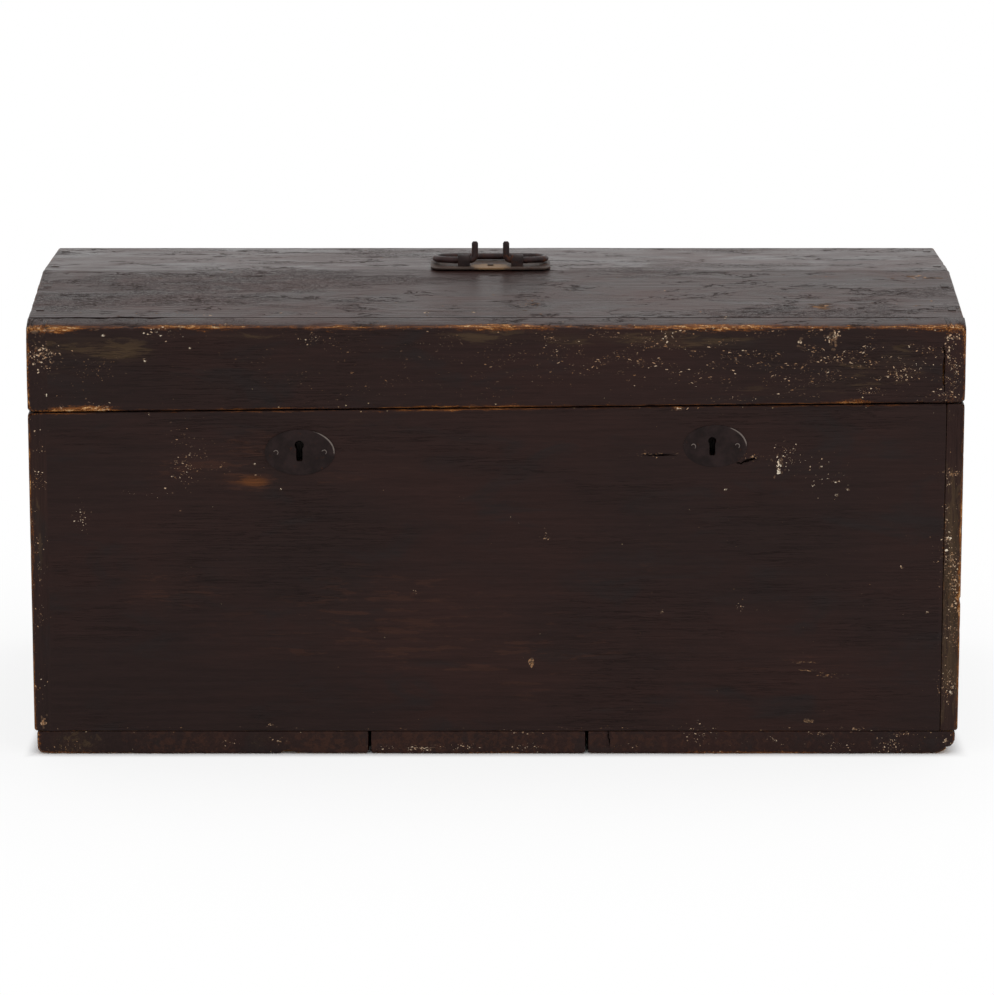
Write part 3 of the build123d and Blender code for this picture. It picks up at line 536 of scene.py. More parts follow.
def painted_pine(name, roughness_of, specular, tint, cracked):
    """Old oil paint on pine: dark, streaked along the grain, rubbed through to orange and pale wood.
    Where the attribute sky is 1 it has weathered greyer, with open cracks along the grain if cracked."""
    t = Tree(bpy.data.materials.new(name))
    grain = t.attribute("grain", "Vector")
    sky, wear, rub, bare, butt = (t.attribute(key) for key in ("sky", "wear", "rub", "bare", "butt"))

    broad = t.noise(grain, (5, 11, 11))
    patch = t.noise(grain, (12, 34, 34), 5.0, 0.6, 0.8)
    streak = t.noise(grain, (11, 360, 360), 4.0, 0.6)
    fine = t.noise(grain, (60, 1500, 1500), 3.0, 0.6)
    rings = t.noise(grain, (2.2, 95, 95), 2.0, distortion=0.3)
    speckle = t.noise(grain, (900, 1300, 1300), 3.0, 0.6)
    flake = t.noise(grain, (110, 540, 540), 5.0, 0.66, 0.5)

    paint = t.mix(t.ramp(broad, 0.36, 0.68), FRONT_DARK, FRONT_WARM)
    paint = t.mix(t.ramp(patch, 0.50, 0.74), paint, FRONT_COOL)
    weathered = t.mix(t.ramp(patch, 0.34, 0.66), TOP_DARK, TOP_WARM)
    weathered = t.mix(t.ramp(broad, 0.45, 0.7), weathered, TOP_COOL)
    paint = t.mix(sky, paint, weathered)
    # thin paint in islands along the grain: olive where rub is below 0, else red brown to orange
    thinness = t.math("ABSOLUTE", rub)
    island = t.noise(grain, (26, 170, 170), 5.0, 0.68, 0.4)
    island = t.plus(thinness, t.swing(island, 3.4))
    island = t.times(t.ramp(island, 0.44, 0.62), 0.52)
    veil = t.times(t.ramp(thinness, 0.0, 1.2), t.ramp(streak, 0.25, 0.75, 0.2, 0.7))
    rubbed = t.times(t.plus(island, veil, clamp=True), t.ramp(thinness, 0.02, 0.3))
    warm_rub = t.mix(t.ramp(rub, 0.45, 0.95), RED_RUB, ORANGE_RUB)
    paint = t.mix(rubbed, paint, t.mix(t.math("LESS_THAN", rub, 0.0), warm_rub, OLIVE_RUB))
    shade = t.plus(t.times(streak, 0.5), t.times(fine, 0.5))
    shade = t.ramp(shade, 0.3, 0.7, 0.80, 1.22)
    grey = t.node("ShaderNodeCombineColor", {0: shade, 1: shade, 2: shade}).outputs[0]
    paint = t.mix(1.0, paint, grey, "MULTIPLY")

    # thin dark lines where the grain has opened
    opening = t.noise(grain, (16, 420, 420), 4.0, 0.6, 0.4)
    line = t.ramp(t.off_middle(opening), 0.020, 0.0)
    line = t.times(line, t.ramp(t.noise(grain, (7, 22, 22)), 0.46, 0.62))
    line = t.times(line, t.ramp(butt, 0.3, 0.8, 1.0, 0.1))
    paint = t.mix(t.times(line, 0.32), paint, "140d0c")

    # brown where hands and knocks have thinned the paint, and paler wood where it is gone
    field = t.plus(t.times(flake, 0.66), t.times(speckle, 0.34))
    thinned = t.ramp(t.plus(wear, t.swing(field, 2.2)), 0.42, 0.86)
    brown = t.mix(t.ramp(streak, 0.35, 0.68), "402313", "824e26")
    colour = t.mix(t.times(thinned, t.ramp(wear, 0.02, 0.25)), paint, brown)
    over = t.math("SUBTRACT", field, t.ramp(wear, 0.0, 1.0, 0.71, 0.465))
    chipped = t.ramp(over, 0.0, 0.02)
    wood = t.ramp(over, 0.0, 0.16)
    wood = t.colours(wood, {0.0: "6d3c1b", 0.30: "96602f", 0.65: "bd8a52", 1.0: "dcc29a"})
    wood = t.mix(t.ramp(fine, 0.35, 0.65, 0.0, 0.5), wood, "6b3c1c")
    colour = t.mix(chipped, colour, wood)

    # single pale specks
    distance, random = t.cells(grain, (330, 420, 420))
    split = t.node("ShaderNodeSeparateColor", {0: random}).outputs
    chance = t.plus(split[0], t.times(wear, 0.10))
    size = t.times(t.ramp(split[1], 0.0, 1.0, 0.10, 0.30), t.ramp(chance, 0.985, 1.01))
    speck = t.math("LESS_THAN", t.plus(distance, t.times(speckle, 0.10)), size)
    speck = t.times(speck, 0.75)
    colour = t.mix(speck, colour, t.mix(split[2], "8a6a48", "cbb694"))

    # bare wood inside the trunk
    ring = t.node("ShaderNodeMath", {0: t.times(rings, 9.0)}, operation="FRACT").outputs[0]
    late = t.ramp(ring, 0.55, 0.98)
    pine = t.mix(t.times(late, 0.65), "9d764b", "6c462a")
    pine = t.mix(t.ramp(fine, 0.3, 0.75, 0.0, 0.4), pine, "805833")
    pine = t.mix(t.ramp(broad, 0.35, 0.7, 0.0, 0.55), pine, "634327")
    uncovered = t.ramp(t.plus(bare, t.swing(flake, 0.5)), 0.45, 0.55)
    colour = t.mix(uncovered, colour, pine)

    gone = t.math("MAXIMUM", chipped, uncovered)
    roughness = t.ramp(patch, 0.3, 0.7, roughness_of - 0.06, roughness_of + 0.08)
    roughness = t.plus(roughness, t.swing(streak, 0.2))
    roughness = t.between(gone, roughness, 0.75)
    normal = t.bump(t.plus(t.times(streak, 0.65), t.times(fine, 0.35)), 0.45, 0.9)
    for depth, distance, strength in ((line, 0.3, 0.7), (late, 0.12, 0.5), (chipped, 0.3, 0.8)):
        normal = t.dent(depth, distance, strength, normal)
    if cracked:
        # short dark cracks along the grain, and a patchy crackle of lifted paint between them
        away = t.off_middle(t.noise(grain, (42, 150, 150), 4.0, 0.62, 0.5))
        where = t.noise(grain, (22, 60, 60))
        crack = t.times(t.ramp(away, 0.034, 0.008), t.ramp(where, 0.53, 0.60))
        scale = t.noise(grain, (170, 260, 260), 4.0, 0.7, 1.2)
        near = t.off_middle(scale)
        rough = t.ramp(t.noise(grain, (5, 20, 20), 4.0, 0.6), 0.48, 0.62)
        crackle = t.times(t.ramp(near, 0.030, 0.006), t.ramp(t.plus(rough, where), 0.9, 1.4))
        opened = t.times(t.math("MAXIMUM", crack, t.times(crackle, 0.75)), sky)
        colour = t.mix(t.times(opened, 0.8), colour, "1d1513")
        roughness = t.between(opened, roughness, 0.9)
        normal = t.bump(t.times(scale, rough), 1.0, 0.8, normal)
        normal = t.dent(opened, 0.6, 0.8, normal)
    return t.finish(colour, roughness, normal, Specular_IOR_Level=specular, Specular_Tint=tint)


def old_iron(name, dark, light, rusted, rough, metallic, specular=0.4, worn="8a8078"):
    """Forged iron gone dark: uneven skin, rust in the hollows, and the colour worn where the attribute wear
    is high, which is rubbed wear on the handle plate and a painted highlight on the escutcheons and their
    nails.
    """
    t = Tree(bpy.data.materials.new(name))
    at = t.coordinates()
    cloud = t.noise(at, 90, 4.0, 0.6)
    pits = t.noise(at, 900, 4.0, 0.65)
    grit = t.noise(at, 2600, 2.0)
    skin = t.mix(t.ramp(cloud, 0.35, 0.68), dark, light)
    skin = t.mix(t.ramp(grit, 0.3, 0.75, 0.0, 0.35), skin, dark)
    broad = t.noise(at, 160, 5.0, 0.7)
    stain = t.plus(t.times(broad, 0.7), t.times(pits, 0.3))
    stained = t.ramp(stain, 0.64 - 0.24 * rusted, 0.74 - 0.22 * rusted)
    colour = t.mix(stained, skin, t.mix(t.ramp(pits, 0.35, 0.7), "5a3019", "2d1a12"))
    # wear is rubbed wear on the handle plate and a painted highlight on the escutcheons and their nails; worn
    # is the colour of both
    wear = t.plus(t.attribute("wear"), t.swing(broad, 0.8))
    colour = t.mix(t.ramp(wear, 0.34, 0.58), colour, worn)
    roughness = t.ramp(pits, 0.3, 0.7, rough - 0.08, rough + 0.12)
    roughness = t.between(stained, roughness, 0.8)
    metal = t.ramp(stained, 0.0, 1.0, metallic, 0.1)
    normal = t.bump(pits, 0.12, 0.8, t.bump(cloud, 0.5, 0.5))
    return t.finish(colour, roughness, normal, Metallic=metal, Specular_IOR_Level=specular)


def chipped_wood():
    """Wood and primer under lost paint, from dark to pale by the attribute tone."""
    t = Tree(bpy.data.materials.new("chipped_wood"))
    at = t.coordinates()
    tone = t.attribute("tone")
    grain = t.noise(at, (260, 900, 1500))
    tone = t.plus(tone, t.swing(grain, 0.55), clamp=True)
    stops = {0.0: "3a2a20", 0.20: "5b4637", 0.38: "86603f", 0.58: "a98769", 0.80: "c4ad93", 1.0: "dccfba"}
    colour = t.colours(tone, stops)
    normal = t.bump(grain, 0.1, 0.6)
    return t.finish(colour, t.ramp(grain, 0.3, 0.7, 0.7, 0.85), normal, Specular_IOR_Level=0.2)


PAINT = painted_pine("painted_pine", 0.42, 0.08, WHITE, False)
TOP_PAINT = painted_pine("weathered_pine", 0.34, 0.27, TOP_TINT, True)
CHIPPED = chipped_wood()
# its last colour is that of the painted highlight on the escutcheon rims and nail heads
ESCUTCHEON_IRON = old_iron("escutcheon_iron", "1a1110", "291d1c", 0.25, 0.42, 0.0, 0.10, "6a605a")
PLATE_IRON = old_iron("plate_iron", "352a25", "473a32", 0.45, 0.55, 0.1, 0.2, "735a40")
BAIL_IRON = old_iron("bail_iron", "1f1413", "362322", 0.50, 0.42, 0.1, 0.22)
LOCK_IRON = old_iron("lock_iron", "28221f", "443d38", 0.40, 0.5, 0.5)
TOP_NAIL_IRON = old_iron("top_nail_iron", "261b18", "382824", 0.35, 0.36, 0.0, 0.26, "5a4438")
NAIL_IRON = old_iron("nail_iron", "211918", "322825", 0.5, 0.5, 0.1, 0.12)
EYE_IRON = old_iron("eye_iron", "1c1211", "2e201e", 0.45, 0.45, 0.05, 0.16)

# body, slot and material of the worn boards; where a board has two materials, the second is for its top
BOX = ("box", "painted_pine", PAINT)
LID = ("lid", "painted_pine", (PAINT, TOP_PAINT))
STAVE = ("lid", "lid_top_pine", TOP_PAINT)
PLATE = ("lid", "plate_iron", PLATE_IRON)


# ---------------- cuts in the boards
CLEAR = 3 * MM                                    # how far a cutter stands out of the wood
TURN = Euler((0.3, 0.5, 0.7)).to_matrix().to_4x4()


def rounded(points, first, second, corner, reach):
    """Wears the corner between two faces round. first and second are axes, corner its place on each,
    and reach how far the wear goes along each, with the sign of the way back into the wood."""
    out = points.copy()
    u = np.clip(1 - (points[:, first] - corner[0]) / reach[0], 0, None)
    v = np.clip(1 - (points[:, second] - corner[1]) / reach[1], 0, None)
    longest = np.maximum(u, v)
    squeeze = np.where(longest > 1e-9, longest / np.maximum(np.hypot(u, v), 1e-9), 1)
    out[:, first] = np.where(u > 0, corner[0] + (1 - u * squeeze) * reach[0], points[:, first])
    out[:, second] = np.where(v > 0, corner[1] + (1 - v * squeeze) * reach[1], points[:, second])
    return out


def carve(piece, cutters):
    """Cuts the given objects out of a piece for good. The cut is worked out with everything turned askew.
    Upright, a board's whole end shares the greatest X, the solver starts from any one of its points, and
    from some of them it adds the cutter in place of cutting it out."""
    piece.data.transform(TURN)
    for cutter in cutters:
        cutter.data.transform(TURN)
        modifier = piece.modifiers.new("cut", "BOOLEAN")
        modifier.operation, modifier.solver, modifier.object = "DIFFERENCE", "EXACT", cutter
    bpy.context.view_layer.update()
    seen = piece.evaluated_get(bpy.context.evaluated_depsgraph_get())
    cut = bpy.data.meshes.new_from_object(seen)
    cut.transform(TURN.inverted())
    piece.modifiers.clear()
    piece.data = cut
    for cutter in cutters:
        bpy.data.objects.remove(cutter)


def ring_cutter(low_ring, high_ring):
    """A cutter between two rings of points, which turn clockwise seen from the low ring to the high one."""
    return new_mesh_object("cutter", low_ring + high_ring, tube(2, len(low_ring)))


def through_cutter(outline, y):
    """A cutter with the given outline of X and Z pairs, between two values of Y."""
    return ring_cutter([(x, y[1], z) for x, z in outline], [(x, y[0], z) for x, z in outline])


def crack_outline(start, end, width, seed, pointed=0.7):
    """The ragged outline of a split between two places. pointed says how far its ends draw in."""
    rng = np.random.default_rng(seed)
    start, end = np.array(start), np.array(end)
    along = end - start
    square = np.array([-along[1], along[0]]) / np.linalg.norm(along)
    count = 15
    shares = np.linspace(0, 1, count)
    wander = np.cumsum(rng.normal(0, 0.22, count)) * width
    wander -= np.linspace(wander[0], wander[-1], count)
    half = np.sin(math.pi * shares) ** pointed * width / 2 * (0.45 + 0.8 * rng.random(count)) + 0.05 * MM
    upper = [start + s * along + square * (w + h) for s, w, h in zip(shares, wander, half)]
    lower = [start + s * along + square * (w - h) for s, w, h in zip(shares, wander, half)]
    return [tuple(spot) for spot in lower + upper[::-1]]


def crack_cutter(start, end, width, deep, seed):
    """A split in the wood of the front, between two places given in metres of X and Z."""
    outline = crack_outline(start, end, width * MM, seed)
    return through_cutter(outline, (FRONT_Y - CLEAR, FRONT_Y + deep * MM))


def on_seam(x, drop):
    """X and Z of a point given along the seam from the middle, and square below it."""
    return x * math.cos(TILT) + drop * math.sin(TILT), SEAM_Z + x * math.sin(TILT) - drop * math.cos(TILT)


def keyhole_outline(place, ease):
    """Pairs of X and drop below the seam, round the keyhole's head and down its slot."""
    radius = KEYHOLE_HEAD_R[place] + ease
    half = KEYHOLE_SLOT_W[place] / 2 + ease
    neck = math.asin(half / radius)
    head = [
        (radius * math.sin(a), KEYHOLE_DROP + radius * math.cos(a))
        for a in np.linspace(neck, 2 * math.pi - neck, 28)
    ]
    foot = KEYHOLE_DROP + KEYHOLE_SLOT_L[place] + ease
    soft = 0.35 * half
    slot = [(-half, foot - soft), (-half + soft, foot), (half - soft, foot), (half, foot - soft)]
    return [(LOCK_X[place] + x, drop) for x, drop in head + slot]


def hinge_cutters(inner_y, low, high):
    """The recess for both straps and the hollow for both knuckles, on the seam."""
    cutters = []
    hollow = KNUCKLE_R + 0.5 * MM
    for x in (-HINGE_X, HINGE_X):
        corners = ((-STRAP_HALF, low), (STRAP_HALF, low), (STRAP_HALF, high), (-STRAP_HALF, high))
        outline = [on_seam(x + dx, -rise) for dx, rise in corners]
        cutters.append(through_cutter(outline, (inner_y - 2 * MM, PIN_Y)))
        rings = []
        for end in (-KNUCKLE_HALF, KNUCKLE_HALF):
            ring = []
            for a in turns(24):
                px, pz = on_seam(x + end, -(PIN_RISE + hollow * math.sin(a)))
                ring.append((px, PIN_Y + hollow * math.cos(a), pz))
            rings.append(ring)
        cutters.append(ring_cutter(*rings))
    return cutters


# ---------------- soft patches of wear on the boards
def on_front(deep, *rows):
    """Patches on the front from rows of X, Z, size along each and strength, all of one depth."""
    return [((x, FRONT_Y, z), (wide, deep, high), strength) for x, z, wide, high, strength in rows]


FRONT_RUBS = on_front(
    1,
    (-0.159, 0.276, 0.11, 0.012, -0.2), (-0.102, 0.239, 0.06, 0.02, -0.16),
    (-0.194, 0.228, 0.011, 0.0045, 0.75), (-0.208, 0.231, 0.026, 0.006, 0.5),
    (-0.240, 0.241, 0.05, 0.018, 0.28), (-0.127, 0.232, 0.026, 0.008, 0.42),
    (-0.203, 0.266, 0.04, 0.016, 0.26), (-0.159, 0.252, 0.09, 0.03, 0.14),
    (-0.270, 0.139, 0.05, 0.022, 0.3), (-0.079, 0.131, 0.09, 0.04, 0.26),
    (0.020, 0.080, 0.11, 0.04, 0.3), (-0.161, 0.097, 0.09, 0.03, 0.2), (0.101, 0.164, 0.06, 0.03, 0.18),
    (0.249, 0.076, 0.06, 0.02, 0.22),
)
FRONT_ZONES = on_front(0.01, (0.368, 0.197, 0.006, 0.03, 0.25), (0.147, 0.290, 0.004, 0.003, 0.6))
END_ZONES = on_front(
    0.01,
    (0.377, 0.132, 0.01, 0.022, 0.34), (-0.374, 0.164, 0.008, 0.05, 0.24),
    (0.369, 0.164, 0.005, 0.06, 0.2),
)
END_RUBS = on_front(0.02, (0.375, 0.131, 0.02, 0.11, -0.85), (-0.374, 0.214, 0.012, 0.06, -0.35)) + [
    ((LEFT_X, 0.040, 0.190), (0.05, 0.08, 0.05), 0.34),
    ((LEFT_X, -0.080, 0.060), (0.05, 0.06, 0.03), 0.30),
    ((LEFT_X, -0.090, 0.240), (0.05, 0.05, 0.02), -0.30),
    ((RIGHT_X, -0.040, 0.150), (0.05, 0.08, 0.06), 0.30),
    ((RIGHT_X, 0.090, 0.240), (0.05, 0.06, 0.02), -0.28),
    ((RIGHT_X, 0.070, 0.060), (0.05, 0.07, 0.03), 0.34),
]
BACK_RUBS = (
    ((0.130, BACK_Y, 0.160), (0.12, 0.05, 0.04), 0.32),
    ((-0.190, BACK_Y, 0.090), (0.10, 0.05, 0.03), 0.30),
    ((-0.060, BACK_Y, 0.240), (0.09, 0.05, 0.015), -0.28),
)
BASE_RUBS = on_front(
    0.05,
    (-0.150, 0.010, 0.5, 0.06, 0.5), (-0.345, 0.010, 0.035, 0.02, -0.9),
    (-0.195, 0.010, 0.02, 0.02, -0.8),
)
LID_RUBS = on_front(
    1,
    (-0.302, 0.335, 0.02, 0.006, -0.7), (-0.332, 0.341, 0.05, 0.011, -0.5),
    (-0.344, 0.318, 0.04, 0.01, -0.18), (0.290, 0.320, 0.034, 0.02, -0.3),
    (-0.013, 0.349, 0.04, 0.005, -0.55), (0.052, 0.347, 0.016, 0.006, -0.45),
    (0.165, 0.345, 0.06, 0.007, -0.42), (-0.199, 0.349, 0.05, 0.004, -0.35),
    (0.330, 0.330, 0.02, 0.018, -0.3), (0.116, 0.348, 0.05, 0.005, -0.4),
    (0.226, 0.305, 0.05, 0.008, -0.2),
)
LID_ZONES = on_front(
    0.01,
    (-0.341, 0.289, 0.026, 0.0035, 0.55), (-0.321, 0.291, 0.02, 0.004, 0.35),
    (-0.352, 0.354, 0.016, 0.003, 0.55), (0.290, 0.296, 0.014, 0.0025, 0.5),
)
LID_END_ZONES = on_front(
    0.01,
    (-0.368, 0.334, 0.012, 0.009, 0.38), (-0.369, 0.354, 0.01, 0.0035, 0.5),
    (0.369, 0.348, 0.01, 0.01, 0.35), (0.367, 0.301, 0.01, 0.006, 0.35),
    (0.369, 0.323, 0.006, 0.014, 0.28),
)
RIGHT_END_DENT = ((RIGHT_X + 0.5 * MM, FRONT_Y, 0.129), (2.6 * MM, 9 * MM, 2.2 * MM))
LEFT_BASE_HOLLOW = ((-0.171, FRONT_Y - 0.5 * MM, -0.5 * MM), (7 * MM, 9 * MM, 4.2 * MM))


# ---------------- the box
def build_front():
    front = worn_board(
        "front_board", (LEFT_INNER, FRONT_Y, BOTTOM_T), (RIGHT_INNER, FRONT_INNER, TOP_EDGE), BOX,
        {"front top": (1.6, 0.58), "front right": (0.6, 0.25), "front bottom": (0.7, 0.30)},
        joined=("left",), bare=("back",), step=2.6, ceiling=box_top, zones=FRONT_ZONES, rub=FRONT_RUBS,
        seed=1,
    )
    cutters = []
    for place in (0, 1):
        outline = [on_seam(x, drop) for x, drop in keyhole_outline(place, 0.4 * MM)]
        cutters.append(through_cutter(outline, (FRONT_Y - CLEAR, FRONT_INNER + CLEAR)))
    # two splits beside the right escutcheon
    cutters.append(crack_cutter((0.1184, 0.2512), (0.1468, 0.2510), 1.3, 7, 1))
    cutters.append(crack_cutter((0.1948, 0.2448), (0.2126, 0.2487), 2.2, 7, 2))
    carve(front, cutters)


def build_back():
    back = worn_board(
        "back_board", (LEFT_INNER, BACK_INNER, BOTTOM_T), (RIGHT_INNER, BACK_Y, TOP_EDGE), BOX,
        {"back top": (1.2, 0.35)} | {f"back {face}": (0.9, 0.3) for face in ("left", "right", "bottom")},
        bare=("front",), step=4, extra_y=(PIN_Y,), ceiling=box_top, rub=BACK_RUBS, seed=2,
    )
    carve(back, hinge_cutters(BACK_INNER, -STRAP_T, SEAM_GAP))


def build_box_end(side, low_x, high_x, inner, edge_wear, inner_wear, joined, bites, seed):
    worn_board(
        side + "_end_board", (low_x, FRONT_Y, BOTTOM_T), (high_x, BACK_Y, TOP_EDGE), BOX,
        {
            f"front {side}": (2.4, edge_wear), f"back {side}": (2.4, 0.6), "front top": (1.4, 0.6),
            f"{side} top": (1.4, 0.55), f"front {inner}": (0.6, inner_wear), f"{side} bottom": (1.0, 0.4),
        },
        joined=joined, bare=(inner,), grain=2, step=3.2, extra_y=(PIN_Y,), ceiling=box_top,
        zones=END_ZONES, rub=END_RUBS, bites=bites, seed=seed,
    )


def dragged_corner(points):
    """The right front foot, worn round by dragging, and whole again a little way back from the front."""
    worn = rounded(points, 0, 2, (RIGHT_X - 2 * MM, 0), (-19 * MM, 13 * MM))
    share = 1 - smooth(24 * MM, 52 * MM, points[:, 1] - FRONT_Y)
    return points + (worn - points) * share[:, None]


def build_base():
    for side in ("left", "middle", "right"):
        low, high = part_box(side + "_bottom_board")
        arrises = {"front bottom": (2.4, 0.6), "front top": (1.2, 0.34)}
        if side in SIDES:
            arrises |= {f"{side} bottom": (2.6, 0.6), f"front {side}": (2.6, 0.7)}
        worn_board(
            side + "_bottom_board", low, high, BOX, arrises, bare=("top", "bottom"), grain=1, step=3.4,
            rub=BASE_RUBS, bites=[LEFT_BASE_HOLLOW] if side == "left" else (),
            shape=dragged_corner if side == "right" else None, seed=5 + len(side),
        )
    # the thin split beside the gap before the right board
    carve(*looks(["right_bottom_board"]), [crack_cutter((0.0924, 0.0235), (0.0933, 0.0069), 1.0, 6, 3)])


# ---------------- the lid
ARRIS_R = 4.0                                     # of the lid's worn front and back arrises, in mm


def open_joint():
    """Cuts the open end of the joint along the top, at the left: a ragged hole down through the roof."""
    outline = crack_outline((-0.381, RAIL_INNER), (-0.262, RAIL_INNER), 3.8 * MM, 5, 0.35)
    height = float(roof(np.array([RAIL_INNER]))[0])
    return ring_cutter(*([(x, y, height + rise) for x, y in outline] for rise in (-CLEAR, CLEAR)))


def build_rails():
    rail = worn_board(
        "lid_front_rail", (LID_LEFT_INNER, FRONT_Y, SEAM_Z), (LID_RIGHT_INNER, RAIL_INNER, ARRIS_Z), LID,
        {"front top": (ARRIS_R, 0.94), "front bottom": (2.5, 0.62), "back top": (0.5, 0)},
        joined=SIDES, bare=("back",), sky=1.0, step=2.6, floor=lid_foot, ceiling=lid_top,
        zones=LID_ZONES, rub=LID_RUBS, seed=11,
    )
    # the second cut is the open joint at the right end of the lid's front
    carve(rail, [open_joint(), crack_cutter((0.3614, 0.3422), (0.3630, 0.2986), 2.2, 5, 4)])
    back = worn_board(
        "lid_back_rail", (LID_LEFT_INNER, BACK_RAIL_INNER, SEAM_Z), (LID_RIGHT_INNER, BACK_Y, ARRIS_Z), LID,
        {"back top": (ARRIS_R, 0.8), "back bottom": (1.2, 0.4), "front top": (0.5, 0)},
        joined=SIDES, bare=("front",), sky=1.0, step=4, extra_y=(PIN_Y,), floor=lid_foot,
        ceiling=lid_top, seed=12,
    )
    carve(back, hinge_cutters(BACK_RAIL_INNER, 0, SEAM_GAP + STRAP_T))


def build_lid_end(side, low_x, high_x, inner, seed):
    beside = [rail + step for rail in (RAIL_INNER, BACK_RAIL_INNER) for step in (-0.1 * MM, 0.1 * MM)]
    worn_board(
        f"lid_{side}_end", (low_x, FRONT_Y, SEAM_Z), (high_x, BACK_Y, ARRIS_Z), LID,
        {
            f"front {side}": (2.2, 0.8), f"back {side}": (2.2, 0.7), "front bottom": (2.5, 0.62),
            f"{side} bottom": (1.2, 0.6), "front top": (ARRIS_R, 0.94), "back top": (ARRIS_R, 0.8),
        },
        joined=(inner,), bare=(inner,), sky=1.0, grain=1, step=3.2, extra_y=(*beside, PIN_Y), floor=lid_foot,
        ceiling=end_top, zones=LID_END_ZONES, rub=LID_RUBS, seed=seed,
    )


def build_staves():
    """The front stave, the crown board and the rear stave, edge to edge along the joints."""
    joints = (RAIL_INNER, FRONT_Y + RIDGE_FROM_FACE, BACK_Y - RIDGE_FROM_FACE, BACK_RAIL_INNER)
    gap = STAVE_GAP / 2
    for i, name in enumerate(STAVES):
        worn_board(
            name, (LEFT_X, joints[i] + (gap if i == 0 else 0), CROWN_Z - STAVE_T),
            (RIGHT_X, joints[i + 1] - (gap if i == 2 else 0), CROWN_Z), STAVE,
            {
                "left top": (2.2, 0.6), "right top": (2.2, 0.6), "left bottom": (1.0, 0.4),
                "right bottom": (1.0, 0.4), "front top": (0.4 if i == 0 else SHUT, 0),
                "back top": (0.4 if i == 2 else SHUT, 0),
            },
            bare=("bottom",), sky=1.0, step=2.8, floor=lambda points: roof(points[:, 1], STAVE_T),
            ceiling=lid_top, relief=0.4, seed=21,
        )


build_front()
build_back()
build_box_end("left", LEFT_X, LEFT_INNER, "right", 0.66, 0, ("right",), (), 3)
build_box_end("right", RIGHT_INNER, RIGHT_X, "left", 0.80, 0.30, (), [RIGHT_END_DENT], 4)
build_base()
build_rails()
build_lid_end("left", LEFT_X, LID_LEFT_INNER, "right", 13)
build_lid_end("right", LID_RIGHT_INNER, RIGHT_X, "left", 14)
build_staves()
for piece in looks(["lid_front_stave", "lid_left_end"]):
    carve(piece, [open_joint()])


# ---------------- escutcheons
# share of the way from the keyhole to the rim, and height over the wood in shares of the plate's thickness
OVAL = (
    (0.0, 0.0), (0.0, 0.72), (0.04, 0.86), (0.12, 0.92), (0.25, 0.98), (0.4, 1.0), (0.55, 1.0), (0.68, 0.98),
    (0.78, 0.95), (0.86, 0.90), (0.92, 0.82), (0.96, 0.68), (0.985, 0.48), (1.0, 0.22), (1.0, 0.0),
)
# share of the head's radius, and height over the plate in mm
NAIL_HEAD = ((0.12, 0.50), (0.35, 0.50), (0.62, 0.62), (0.84, 0.58), (0.97, 0.40), (1.0, 0.0))


def ray_to_outline(outline, start, direction):
    """How far a closed outline is from a point inside it."""
    found = []
    for a, b in zip(outline, outline[1:] + outline[:1]):
        a, b = np.array(a) - start, np.array(b) - start
        side = b - a
        cross = direction[0] * side[1] - direction[1] * side[0]
        if abs(cross) < 1e-12:
            continue
        along = (a[0] * side[1] - a[1] * side[0]) / cross
        share = (a[0] * direction[1] - a[1] * direction[0]) / cross
        if along > 0 and -1e-6 <= share <= 1 + 1e-6:
            found.append(along)
    return min(found)


def ray_to_oval(middle, half, start, direction):
    """How far an oval with the given middle and half sizes is from a point inside it."""
    offset = (start - middle) / half
    ray = direction / half
    a, b, c = ray @ ray, 2 * offset @ ray, offset @ offset - 1
    return (-b + math.sqrt(b * b - 4 * a * c)) / (2 * a)


def build_escutcheon(place, side, tip, sink):
    """A thin oval plate, hammered and slightly domed, from its keyhole out to a soft rim. tip lifts its
    upper right and lowers its lower left, and sink lowers it all, both in mm."""
    middle = np.array([LOCK_X[place] + ESCUTCHEON_STEP[place], ESCUTCHEON_DROP[place]])
    half = np.array([ESCUTCHEON_W[place] / 2, ESCUTCHEON_H[place] / 2])
    start = np.array([LOCK_X[place], KEYHOLE_DROP + KEYHOLE_HEAD_R[place]])
    outline = keyhole_outline(place, 0)
    rays = []
    for angle in np.linspace(0, 2 * math.pi, 120, endpoint=False):
        direction = np.array([math.cos(angle), math.sin(angle)])
        reach = ray_to_outline(outline, start, direction), ray_to_oval(middle, half, start, direction)
        rays.append((direction, *reach))
    points, painted_highlight = [], []
    for share, height in OVAL:
        for direction, inner, outer in rays:
            spot = start + direction * (inner + share * (outer - inner))
            dx, dy = (spot - middle) / half
            hammered = 0.10 * (noise(np.array([[*spot, place]]), (9 * MM, 9 * MM, 1), 31)[0] - 0.5)
            slant = tip * dx - tip * dy
            proud = (1.2 * height * (1 + hammered) + (slant - sink if height > 0 else 0)) * MM
            x, z = on_seam(*spot)
            points.append((x, FRONT_Y - max(proud, -1.5 * MM), z))
            # a painted highlight along the rim at its upper right, toward the light, where it stands proudest
            # (drop grows downward)
            toward_light = math.cos(math.atan2(-dy, dx) - 0.55)
            painted_highlight.append(max(0.0, toward_light) ** 4 * (0.85 if 0.94 < share < 0.995 else 0.0))
    name = side + "_escutcheon"
    faces = tube(len(OVAL), len(rays), closed=True)
    # the painted highlight goes to the material as its attribute wear
    seen = {"wear": painted_highlight}
    mesh_piece(name + "_looks", points, faces, "box", "escutcheon_iron", ESCUTCHEON_IRON, (name,), seen)


